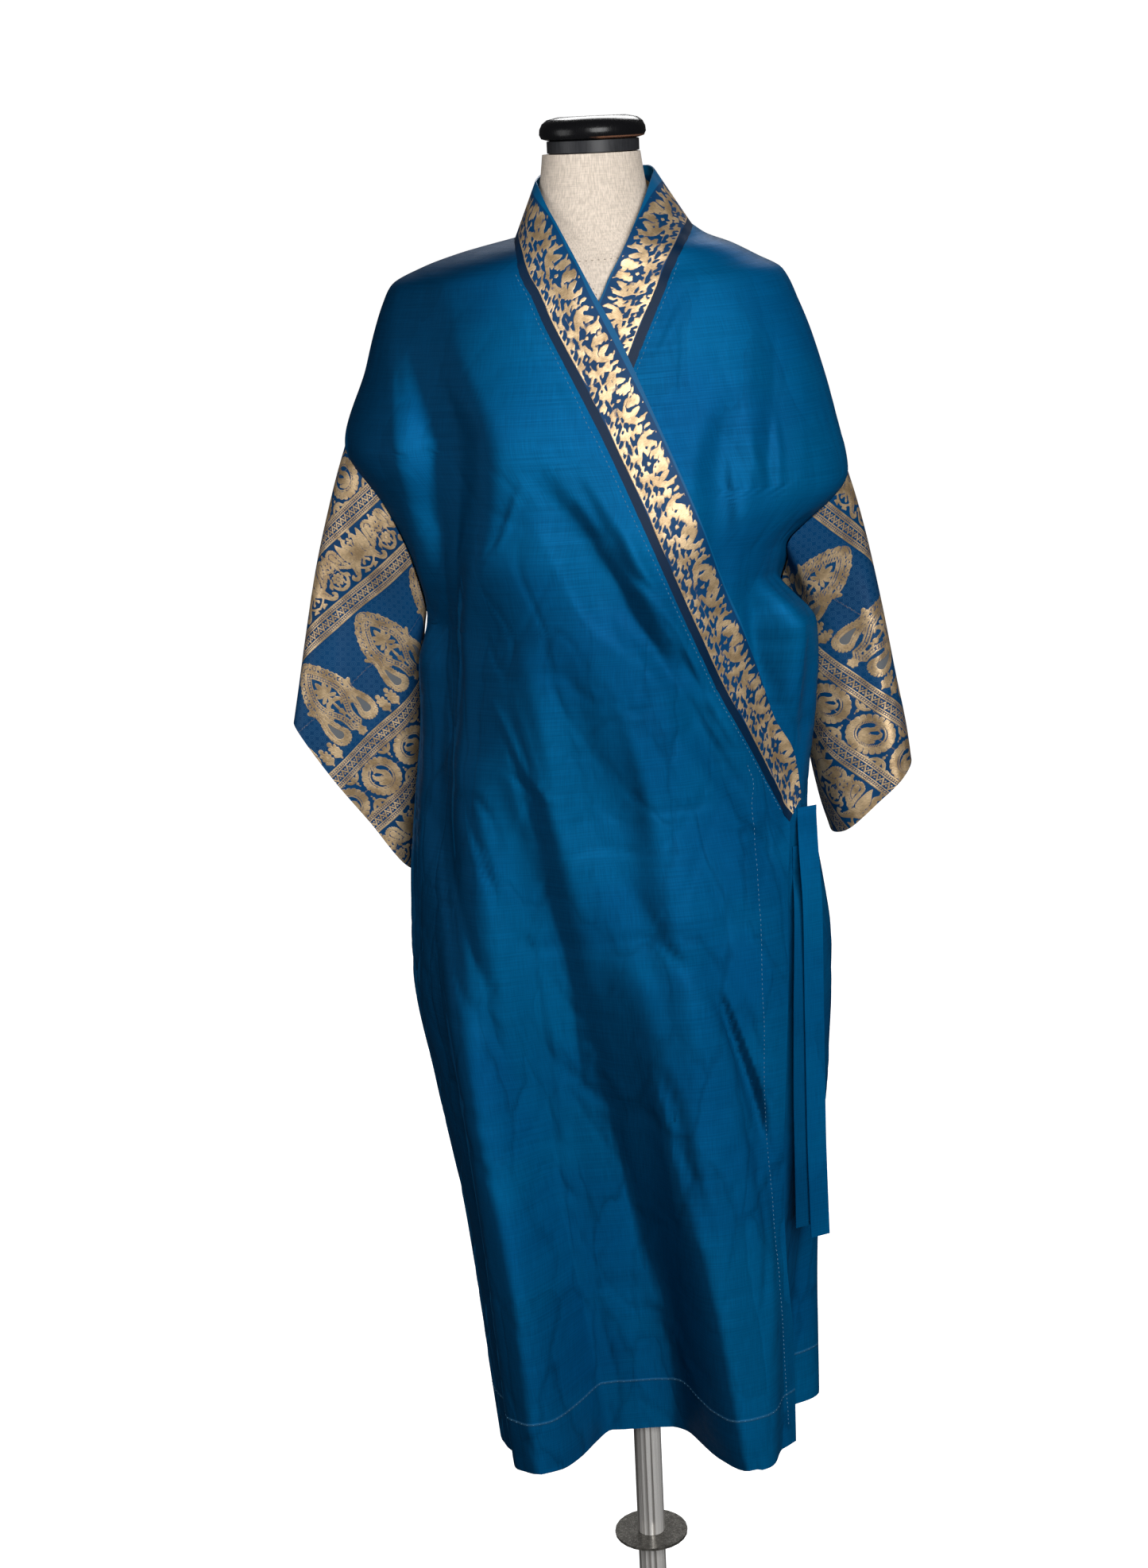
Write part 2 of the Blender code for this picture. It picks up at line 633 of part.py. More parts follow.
def sleeve_point(side, table, around, part):
    """Point of the hanging tube: around is 0 at the outer fold, a half at the inner one."""
    outer_x, outer_y, outer_z, inner_x, inner_y, inner_z, half_depth = read_table(table, part)
    outer = Vector((outer_x, outer_y, outer_z))
    inner = Vector((inner_x, inner_y, inner_z))
    cosine = math.cos(2.0 * math.pi * around)
    sine = math.sin(2.0 * math.pi * around)
    point = (outer + inner) * 0.5 + (outer - inner) * 0.5 * cosine
    depth = half_depth + sleeve_fold(side, around, part)
    point.y -= math.copysign(abs(sine) ** SLEEVE_SQUARENESS, sine) * depth
    return point


def build_sleeve(name, side, table, brocade):
    """Tube that leaves the sleeve seam exactly and eases into the hanging form."""
    seam, outward = armhole_ring(side)
    low, high = seam[len(seam) // 2].z, seam[0].z
    for index, point in enumerate(seam):
        standoff = ARMPIT_STANDOFF * smoothstep(0.95, 0.5, (point.z - low) / (high - low))
        seam[index] = point + outward[index] * standoff
    arounds = []
    for index, point in enumerate(seam):
        level = min(max(2.0 * (point.z - low) / (high - low) - 1.0, -1.0), 1.0)
        turn = math.acos(level) / (2.0 * math.pi)
        arounds.append(turn if index <= len(seam) // 2 else 1.0 - turn)
    grid = []
    for part in SLEEVE_STEPS:
        keep = (1.0 - smoothstep(0.0, SLEEVE_BLEND, part))
        line = []
        for index, (around, point) in enumerate(zip(arounds, seam)):
            even = blend(around, index / len(seam), 1.0 - keep)
            hang = sleeve_point(side, table, even, part)
            off = point - sleeve_point(side, table, around, 0.0)
            line.append(hang + off * keep)
        grid.append(line)
    set_back(grid, ("first row",), 3.0 * SEAM_SETBACK)
    grid = grid[::-1]
    if side > 0:
        grid = [line[::-1] for line in grid]
    return add_wall(name, grid, grid_normals(grid, True), brocade, wrap=True)


def band_line(front_table, seam_height, lift_at, rise):
    """Points across a neckband at one place on its seam, from the seam to the free edge."""
    seam_x, free_x, free_y, free_z = read_table(front_table, seam_height)
    start = half_ring_place(seam_x, seam_height)
    seam = body_point(True, start, seam_height, lift_at(start, seam_height))
    standing = Vector((free_x, free_y, free_z))
    height = free_z - SHOULDER_TILT * free_x * smoothstep(TILT_FROM, TILT_FULL, free_z)
    end = half_ring_place(free_x, min(height, NECKLINE))
    stands = smoothstep(CHEST_LINE - 0.03, CHEST_LINE + 0.015, seam_height)
    line = [seam]
    for column in range(1, BAND_COLUMNS + 1):
        part = column / BAND_COLUMNS
        upright = seam.lerp(standing, part)
        at = min(blend(seam_height, height, part), NECKLINE)
        place = blend(start, end, part)
        lying = body_point(True, place, at, lift_at(place, at) + rise * part)
        line.append(lying.lerp(upright, stands))
    return line


def build_band(name, side, table, lift_at, rise, brocade):
    """Neckband from the centre back, round the side of the neck and down its front."""
    grid = []
    steps = BACK_COLUMNS // 2
    for index in range(steps):
        way = 0.5 * index / steps
        place = BAND_MIDDLE + side * way
        seam = body_point(False, place, NECKLINE)
        free = Vector(read_table(COLLAR_BACK, place))
        grid.append([seam.lerp(free, column / BAND_COLUMNS) for column in range(BAND_COLUMNS + 1)])
    heights = [height for height in row_heights() if height > WAIST + 0.004][::-1]
    for height in heights + [WAIST + 0.0003]:
        grid.append(band_line(table, height, lift_at, rise))
    for line in grid:
        setback = COLLAR_SETBACK if line[0].z > CHEST_LINE + 0.01 else 2.0 * SEAM_SETBACK
        line[0] = line[0] + (line[1] - line[0]).normalized() * setback
    set_back(grid, ("first row",), SEAM_SETBACK)
    if side > 0:
        grid = [line[::-1] for line in grid]
    return add_wall(name, grid, grid_normals(grid, False), brocade)


def build_tie(name, table, clearance, silk):
    """Flat strap; at each height it keeps clear of the under front behind it."""
    grid = []
    low, high = table[0][0], table[-1][0]
    across = [Vector((1.0, TIE_TURN, 0.0)).normalized() * TIE_WIDTH * part for part in (0.0, 0.5, 1.0)]
    for step in range(TIE_STEPS + 1):
        height = blend(low, high, step / TIE_STEPS)
        x, depth = read_table(table, height)
        for place in evenly(*TIE_BEHIND):
            touch = body_point(True, place, height, under_lift(place, height) + clearance)
            if 0.0 <= touch.x - x <= across[-1].x:
                depth = min(depth, touch.y - (touch.x - x) * TIE_TURN)
        edge = Vector((x, depth, height))
        grid.append([edge + run for run in across])
    return add_wall(name, grid, grid_normals(grid, False), silk)


def form_ring(height, half_width, fore, aft, squareness):
    """Ring of the dress form; at the shoulders it keeps just inside the cloth."""
    left, right = -half_width, half_width
    if SHOULDER_TIP - 0.08 < height <= NECKLINE:
        cloth = read_table(BODY_SECTIONS, height)
        left = max(left, cloth[0] + SHOULDER_EASE)
        right = min(right, cloth[1] - SHOULDER_EASE)
    shift = FORM_NECK_SHIFT * smoothstep(1.60, 1.66, height)
    power = 2.0 / squareness
    ring = []
    for index in range(FORM_SIDES):
        angle = 2.0 * math.pi * index / FORM_SIDES
        cosine, sine = math.cos(angle), math.sin(angle)
        end = -fore if sine < 0.0 else aft
        x = 0.5 * (left + right) + 0.5 * (right - left) * math.copysign(abs(cosine) ** power, cosine)
        y = end * math.copysign(abs(sine) ** power, sine)
        tilt = SHOULDER_TILT * smoothstep(TILT_FROM, TILT_FULL, height)
        tilt *= 1.0 - smoothstep(NECKLINE, NECKLINE + 0.06, height)
        ring.append(Vector((x + shift, y, height + tilt * x)))
    return ring


def build_stand(linen, lacquer, steel):
    add_rings("form_body", [form_ring(*row) for row in FORM_SECTIONS], linen)
    add_rings("cap_ring", turned_rings(CAP_RING_PROFILE), lacquer)
    add_rings("cap_bun", turned_rings(CAP_BUN_PROFILE), lacquer)
    socket_top = SOCKET_PROFILE[-1][1] + DISC_GAP
    disc_top = DISC_HEIGHT + DISC_WALL
    add_rings("pole", turned_rings(((POLE_RADIUS, disc_top + DISC_GAP), (POLE_RADIUS, POLE_TOP))), steel)
    add_rings("pole_disc", turned_rings(((DISC_RADIUS, DISC_HEIGHT), (DISC_RADIUS, disc_top))), steel)
    lower = ((POLE_RADIUS, socket_top), (POLE_RADIUS, DISC_HEIGHT - DISC_GAP))
    add_rings("pole_lower", turned_rings(lower), steel)
    add_rings("base_socket", turned_rings(SOCKET_PROFILE), steel)
    add_rings("base_plate", turned_rings(BASE_PROFILE, sides=2 * ROUND_SIDES), steel)


def clear_scene():
    for thing in list(bpy.data.objects):
        bpy.data.objects.remove(thing, do_unlink=True)


def build():
    clear_scene()
    silk = material("silk", (0.004, 0.090, 0.230), 0.42)
    brocade = material("brocade", (0.300, 0.215, 0.120), 0.45)
    linen = material("linen", (0.600, 0.545, 0.480), 0.85)
    lacquer = material("lacquer", (0.010, 0.010, 0.011), 0.15)
    steel = material("steel", (0.560, 0.550, 0.540), 0.32, 1.0)
    build_body(silk)
    build_sleeve("right_sleeve", -1, RIGHT_SLEEVE, brocade)
    build_sleeve("left_sleeve", 1, LEFT_SLEEVE, brocade)
    build_band("neckband_right", -1, RIGHT_BAND, no_lift, RIGHT_BAND_RISE, brocade)
    build_band("neckband_left", 1, LEFT_BAND, under_lift, 0.0, brocade)
    build_tie("tie_front", FRONT_TIE, FRONT_TIE_CLEARANCE, silk)
    build_tie("tie_under", UNDER_TIE, UNDER_TIE_CLEARANCE, silk)
    build_stand(linen, lacquer, steel)


build()
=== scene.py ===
import math

import bpy
import numpy as np
from mathutils import Matrix, Vector


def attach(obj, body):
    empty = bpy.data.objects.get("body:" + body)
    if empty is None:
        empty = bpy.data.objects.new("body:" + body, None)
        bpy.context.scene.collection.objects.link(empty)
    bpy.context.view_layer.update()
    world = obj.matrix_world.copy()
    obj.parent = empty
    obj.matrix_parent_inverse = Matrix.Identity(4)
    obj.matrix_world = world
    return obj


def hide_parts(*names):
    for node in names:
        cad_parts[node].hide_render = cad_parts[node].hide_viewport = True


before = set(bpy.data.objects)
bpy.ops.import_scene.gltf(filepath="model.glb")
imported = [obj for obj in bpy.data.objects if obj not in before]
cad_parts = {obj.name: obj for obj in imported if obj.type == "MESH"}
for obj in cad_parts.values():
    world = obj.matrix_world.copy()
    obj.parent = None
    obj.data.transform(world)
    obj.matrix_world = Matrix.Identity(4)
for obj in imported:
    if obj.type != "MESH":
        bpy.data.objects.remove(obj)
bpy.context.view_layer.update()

# Grid of the visual cloth, and the edges that stay sharp on it, in degrees
CLOTH = 0.0012
PANEL_STEP = 0.0046
ORNAMENT_STEP = 0.00085
CLOTH_SHARP = 62.0
# A negative setback is how far neighbouring pieces run into each other at their seams
SEAM_SETBACK = -0.0002
COLLAR_SETBACK = -0.0003

# Heights that the panels are cut at
HEM = 0.335
WAIST = 1.038
FRONT_TOP = 1.6285
NECKLINE = 1.6287
# Foot and top of each sleeve seam, by side; side -1 is at the viewer's left
ARMHOLES = {-1: (1.256, 1.438), 1: (1.270, 1.382)}

# How far the under front lies inside the upper one, the half ring places where that starts and is
# full, low down and high up, the heights between those two, and the heights it ends at by the neck
UNDER_LAYER = 0.0080
UNDER_PLACES = ((1.0, 0.88), (0.84, 0.60))
UNDER_HEIGHTS = (1.25, 1.45)
UNDER_NECK = (1.622, 1.588)
# How far its hem lies further in, below which height, and between which places
HEM_RECESS = 0.030
RECESS_TOP = 0.780
RECESS_START = (0.70, 0.86)
RECESS_END = (1.0, 0.93)

BODY_SECTIONS = (
    # height, left, right, front, back, depth of left side, depth of right side, squareness
    (0.335, -0.163, 0.197, -0.112, 0.100, -0.010, 0.040, 2.5),
    (0.450, -0.173, 0.197, -0.118, 0.104, -0.006, 0.036, 2.5),
    (0.600, -0.186, 0.201, -0.124, 0.110, 0.000, 0.032, 2.5),
    (0.760, -0.210, 0.214, -0.130, 0.118, 0.004, 0.030, 2.5),
    (0.880, -0.226, 0.218, -0.134, 0.120, 0.006, 0.026, 2.5),
    (0.980, -0.222, 0.206, -0.132, 0.112, 0.006, 0.022, 2.5),
    (1.060, -0.213, 0.186, -0.130, 0.102, 0.006, 0.020, 2.5),
    (1.150, -0.202, 0.176, -0.136, 0.102, 0.004, 0.020, 2.4),
    (1.210, -0.199, 0.172, -0.140, 0.106, 0.002, 0.020, 2.3),
    (1.256, -0.188, 0.170, -0.143, 0.108, 0.000, 0.020, 2.3),
    (1.317, -0.206, 0.186, -0.144, 0.110, 0.000, 0.010, 2.3),
    (1.382, -0.236, 0.2414, -0.138, 0.110, 0.000, 0.004, 2.2),
    (1.438, -0.2595, 0.230, -0.130, 0.108, 0.000, 0.000, 2.2),
    (1.515, -0.234, 0.208, -0.112, 0.104, 0.000, 0.000, 2.2),
    (1.5465, -0.2245, 0.196, -0.104, 0.100, 0.000, 0.000, 2.2),
    (1.579, -0.212, 0.1806, -0.094, 0.094, 0.000, 0.000, 2.2),
    (1.594, -0.203, 0.156, -0.088, 0.090, 0.000, 0.000, 2.2),
    (1.608, -0.172, 0.131, -0.082, 0.084, 0.000, 0.000, 2.2),
    (1.6185, -0.134, 0.107, -0.074, 0.078, 0.000, 0.000, 2.2),
    (1.6287, -0.080, 0.093, -0.066, 0.072, 0.000, 0.000, 2.2),
)
SHOULDER_TILT = 0.035
TILT_HEIGHTS = (1.30, 1.55)
HALF_GIRTH = 0.56
# Rows are spaced by their moves at these half ring places, measured on this many fine rows
MARK_PLACES = (0.08, 0.30, 0.70, 0.92)
FINE_ROWS = 1200

# Folds run down the cloth through three places. A place is a height and x on the ring; a fold
# on the back is marked by side -1. Depth is outward, so a valley is negative.
FOLDS = (
    # side, height, x, depth, height, x, depth, height, x, depth, half width, flat part
    (1, 1.120, -0.160, 0.000, 0.800, -0.092, -0.030, 0.335, -0.012, -0.080, 0.085, 0.45),
    (1, 1.080, -0.158, 0.004, 0.800, -0.147, 0.016, 0.335, -0.122, 0.024, 0.055, 0.20),
    (1, 0.760, 0.100, 0.000, 0.560, 0.104, 0.010, 0.335, 0.096, 0.024, 0.060, 0.30),
    (1, 1.540, -0.178, -0.004, 1.430, -0.160, -0.018, 1.060, -0.188, -0.010, 0.050, 0.20),
    (1, 1.420, -0.060, 0.000, 1.284, 0.001, -0.009, 1.190, 0.076, -0.003, 0.030, 0.10),
    (1, 1.260, -0.066, 0.000, 1.080, -0.024, -0.012, 0.740, 0.040, -0.004, 0.034, 0.10),
    (1, 1.200, 0.058, 0.000, 1.110, 0.100, -0.009, 1.040, 0.140, -0.003, 0.028, 0.10),
    (1, 0.960, 0.070, 0.000, 0.800, 0.118, -0.008, 0.600, 0.138, -0.003, 0.026, 0.10),
    (1, 1.290, 0.158, 0.004, 1.238, 0.160, 0.048, 1.056, 0.180, 0.014, 0.046, 0.30),
    (1, 1.250, 0.152, 0.000, 1.160, 0.165, -0.007, 1.060, 0.170, -0.004, 0.022, 0.15),
    (1, 1.480, 0.130, 0.000, 1.400, 0.112, -0.008, 1.250, 0.104, -0.003, 0.026, 0.10),
    (-1, 1.540, -0.120, -0.004, 1.350, -0.128, -0.014, 1.080, -0.120, -0.006, 0.042, 0.15),
    (-1, 1.520, 0.118, -0.004, 1.340, 0.124, -0.013, 1.060, 0.116, -0.006, 0.042, 0.15),
    (-1, 1.000, -0.060, 0.000, 0.640, -0.066, -0.020, 0.335, -0.060, -0.034, 0.055, 0.20),
    (-1, 0.960, 0.062, 0.000, 0.600, 0.070, -0.018, 0.335, 0.074, -0.038, 0.055, 0.20),
    (-1, 0.900, 0.004, 0.000, 0.600, 0.006, 0.006, 0.335, 0.008, 0.014, 0.045, 0.20),
)
FOLD_FADE = 0.10
FOLD_PLACES = (0.06, 0.985)

# How far the sleeve seams open the ring at its ends, as a part of the half ring
ARMHOLE_OPENING = 0.125
# The left sleeve seam turns in behind the pouch of cloth that hangs over it
POUCH_TOP = (1.280, 1.330)
POUCH_SEAM = 0.25

# Seam of each front with its neckband, and the band's free edge. Between the heights of BAND_STANDS
# the free edge leaves the cloth and comes to stand round the neck at the depth given.
BAND_STANDS = (1.560, 1.605)
# Above COLLAR_FOOT the seam has the collar's setback. The net has COLLAR_COLUMNS steps from the centre
# back to the side of the neck, then a row at each of COLLAR_ROWS and BAND_ROWS more down to the waist.
COLLAR_FOOT = 1.600
BAND_WIDTH = 0.058
BAND_COLUMNS = 6
COLLAR_COLUMNS = 8
COLLAR_ROWS = (1.6285, 1.6276, 1.6262, 1.6223, 1.6185, 1.6144, 1.6095)
BAND_TOP = 1.604
BAND_FOOT = 1.0383
BAND_ROWS = 46
RIGHT_BAND = (
    # seam height, seam x, free edge x, depth, height
    (1.0383, 0.1673, 0.1727, -0.0524, 1.0592),
    (1.0829, 0.1473, 0.1660, -0.0560, 1.1020),
    (1.1300, 0.1260, 0.1520, -0.0710, 1.1500),
    (1.1820, 0.1007, 0.1350, -0.0900, 1.2080),
    (1.2564, 0.0696, 0.1120, -0.1130, 1.2820),
    (1.3416, 0.0361, 0.0825, -0.1330, 1.3660),
    (1.4355, -0.0023, 0.0455, -0.1250, 1.4600),
    (1.5152, -0.0390, 0.0125, -0.1060, 1.5395),
    (1.5567, -0.0581, -0.0096, -0.0930, 1.5817),
    (1.5799, -0.0668, -0.0210, -0.0835, 1.6050),
    (1.6009, -0.0772, -0.0315, -0.0720, 1.6260),
    (1.6090, -0.0780, -0.0385, -0.0610, 1.6400),
    (1.6185, -0.0790, -0.0470, -0.0430, 1.6560),
    (1.6250, -0.0800, -0.0540, -0.0220, 1.6720),
    (1.6287, -0.0800, -0.0572, 0.0040, 1.6800),
)
LEFT_BAND = (
    # seam height, seam x, free edge x, depth, height
    (1.0383, -0.1660, -0.1720, -0.0600, 1.0600),
    (1.1300, -0.1290, -0.1530, -0.0700, 1.1500),
    (1.2564, -0.0790, -0.1200, -0.1100, 1.2820),
    (1.3416, -0.0440, -0.0900, -0.1300, 1.3660),
    (1.4355, -0.0060, -0.0520, -0.1250, 1.4600),
    (1.5058, 0.0283, -0.0210, -0.1100, 1.5330),
    (1.5482, 0.0493, 0.0010, -0.0980, 1.5740),
    (1.5655, 0.0581, 0.0090, -0.0900, 1.5900),
    (1.5868, 0.0691, 0.0180, -0.0825, 1.6060),
    (1.6059, 0.0787, 0.0300, -0.0700, 1.6280),
    (1.6185, 0.0870, 0.0420, -0.0490, 1.6510),
    (1.6250, 0.0915, 0.0520, -0.0260, 1.6720),
    (1.6287, 0.0930, 0.0590, 0.0040, 1.6860),
)
# Free edge of the collar behind the neck, from the viewer's left to the right
COLLAR_BACK = (
    # part of the way round, x, depth, height
    (0.00, -0.0572, 0.0040, 1.6800),
    (0.22, -0.0500, 0.0360, 1.6850),
    (0.50, 0.0010, 0.0640, 1.6880),
    (0.78, 0.0530, 0.0370, 1.6890),
    (1.00, 0.0590, 0.0040, 1.6860),
)
# How far the free edge of the upper band stands off the cloth under it
RIGHT_BAND_RISE = 0.0035

# Free edge of the upper front below the waist, and inner edge of the under front
OVERLAP_EDGE = (
    # height, x
    (0.335, 0.1600),
    (0.450, 0.1600),
    (0.555, 0.1536),
    (0.660, 0.1515),
    (0.750, 0.1553),
    (0.890, 0.1617),
    (1.000, 0.1641),
    (1.0383, 0.1673),
)
UNDER_EDGE = (
    # height, x
    (0.335, -0.1150),
    (0.700, -0.1500),
    (0.950, -0.1620),
    (1.0383, -0.1660),
)

# Sleeves: the fold lines that the flat tube hangs between
RIGHT_SLEEVE = (
    # part of its length, outer x, depth, height, inner x, depth, height, half depth
    (0.00, -0.2595, 0.000, 1.4380, -0.1840, 0.000, 1.2560, 0.048),
    (0.10, -0.2700, 0.000, 1.4080, -0.1895, 0.018, 1.2280, 0.045),
    (0.24, -0.2830, 0.002, 1.3650, -0.1945, 0.032, 1.1900, 0.040),
    (0.45, -0.2995, 0.004, 1.3040, -0.1995, 0.038, 1.1340, 0.036),
    (0.70, -0.3155, 0.006, 1.2330, -0.2080, 0.040, 1.0640, 0.034),
    (0.88, -0.3260, 0.008, 1.1830, -0.2170, 0.042, 1.0120, 0.032),
    (1.00, -0.3335, 0.008, 1.1480, -0.2235, 0.042, 0.9750, 0.031),
)
LEFT_SLEEVE = (
    # part of its length, outer x, depth, height, inner x, depth, height, half depth
    (0.00, 0.2414, 0.004, 1.3820, 0.1700, 0.020, 1.2700, 0.050),
    (0.10, 0.2500, 0.006, 1.3540, 0.1790, 0.036, 1.2440, 0.046),
    (0.24, 0.2610, 0.010, 1.3120, 0.1880, 0.050, 1.2080, 0.044),
    (0.45, 0.2755, 0.014, 1.2440, 0.1960, 0.058, 1.1560, 0.048),
    (0.70, 0.2895, 0.018, 1.1680, 0.2025, 0.056, 1.0860, 0.053),
    (0.88, 0.3000, 0.020, 1.1130, 0.2130, 0.050, 1.0300, 0.057),
    (1.00, 0.3045, 0.020, 1.0780, 0.2230, 0.046, 0.9960, 0.058),
)
# The sleeve's seam edge stands off the body by this much round the armpit, where it folds back, and
# less and less above it
ARMPIT_STANDOFF = 0.0026
STANDOFF_FADE = (0.95, 0.50)
SLEEVE_COLUMNS = 330
SLEEVE_ROWS = 226
SLEEVE_SQUARENESS = 0.80
# Parts of its length over which the seam's shape goes over into the hanging one, and the folds come in
SLEEVE_BLEND = 0.45
SLEEVE_FOLD_START = (0.05, 0.40)
SLEEVE_FOLDS = (
    # sleeve, part round where it starts, part where it ends, depth, half width
    (-1, 0.20, 0.30, -0.007, 0.10),
    (-1, 0.34, 0.40, 0.005, 0.09),
    (-1, 0.70, 0.66, -0.008, 0.10),
    (1, 0.18, 0.24, -0.006, 0.10),
    (1, 0.36, 0.38, 0.006, 0.08),
    (1, 0.72, 0.68, -0.008, 0.10),
)

# Ties rest on the cloth at the waist and hang down in front of it, turned a little with the body;
# TIE_PLACE keeps their weave apart from that of the panels
TIE_WIDTH = 0.0225
TIE_TURN = 0.45
FRONT_TIE_CLEARANCE = 0.0011
UNDER_TIE_CLEARANCE = 0.0018
FRONT_TIE = (
    # height, x of its inner edge, depth where it hangs free
    (0.5850, 0.1800, -0.0880),
    (0.6240, 0.1790, -0.0905),
    (0.7170, 0.1775, -0.0950),
    (0.8370, 0.1775, -0.0985),
    (0.9500, 0.1785, -0.0935),
    (1.0190, 0.1770, -0.0760),
    (1.0480, 0.1785, -0.0500),
)
UNDER_TIE = (
    # height, x of its inner edge, depth where it hangs free
    (0.5980, 0.1640, -0.0900),
    (0.7200, 0.1640, -0.0960),
    (0.8400, 0.1660, -0.0990),
    (0.9500, 0.1700, -0.0880),
    (1.0120, 0.1715, -0.0500),
)
TIE_PLACE = 3.0
TIE_ROWS = 121
TIE_COLUMNS = 13
# Half ring places of the cloth that a tie keeps clear of, and their count
TIE_BEHIND = (0.72, 1.0, 61)
# Shade on the under tie, and on the under front in the gap beside the upper one's edge: how near the
# edge it starts and is full, and the heights that it comes in and goes out over
UNDER_TIE_SHADE = 0.40
GAP_SHADE = 0.46
GAP_REACH = (0.030, 0.010)
GAP_LOW = (0.60, 0.72)
GAP_HIGH = (1.058, 1.038)

# Dress form. From EASE_FROM up, its shoulders follow the cloth that they carry, with a little ease.
SHOULDER_EASE = 0.0036
EASE_FROM = 1.505
FORM_SECTIONS = (
    # height, half width, front, back, squareness
    (0.800, 0.120, -0.068, 0.080, 2.2),
    (0.815, 0.134, -0.076, 0.090, 2.2),
    (0.860, 0.150, -0.086, 0.102, 2.2),
    (0.930, 0.155, -0.092, 0.100, 2.2),
    (1.000, 0.140, -0.088, 0.084, 2.2),
    (1.060, 0.122, -0.084, 0.074, 2.2),
    (1.130, 0.126, -0.092, 0.078, 2.2),
    (1.210, 0.136, -0.104, 0.086, 2.2),
    (1.290, 0.144, -0.112, 0.090, 2.2),
    (1.370, 0.154, -0.112, 0.094, 2.2),
    (1.450, 0.164, -0.104, 0.090, 2.2),
    (1.520, 0.178, -0.094, 0.086, 2.2),
    (1.560, 0.187, -0.086, 0.080, 2.2),
    (1.585, 0.190, -0.080, 0.074, 2.2),
    (1.600, 0.180, -0.076, 0.070, 2.2),
    (1.612, 0.140, -0.0700, 0.0640, 2.1),
    (1.621, 0.088, -0.0665, 0.0605, 2.1),
    (1.633, 0.0640, -0.0620, 0.0580, 2.0),
    (1.655, 0.0560, -0.0570, 0.0540, 2.0),
    (1.680, 0.0510, -0.0520, 0.0510, 2.0),
    (1.704, 0.0478, -0.0490, 0.0490, 2.0),
)
FORM_SIDES = 96
FORM_SHARP = 70.0
FORM_ROWS = (
    # from height, to height, count
    (0.800, 1.570, 90),
    (1.575, 1.640, 40),
    (1.643, 1.704, 24),
)
FORM_NECK_SHIFT = -0.002
NECK_SHIFT_HEIGHTS = (1.60, 1.66)
NECK_UPRIGHT = 0.06

# Neck cap: radius and height, from the bottom up
ROUND_SIDES = 64
ROUND_SHARP = 40.0
CAP_RING_PROFILE = ((0.0430, 1.7045), (0.0450, 1.7050), (0.0450, 1.7160), (0.0430, 1.7165))
CAP_BUN_PROFILE = (
    (0.0440, 1.7168), (0.0500, 1.7185), (0.0520, 1.7225), (0.0515, 1.7275),
    (0.0490, 1.7325), (0.0440, 1.7362), (0.0330, 1.7385),
)

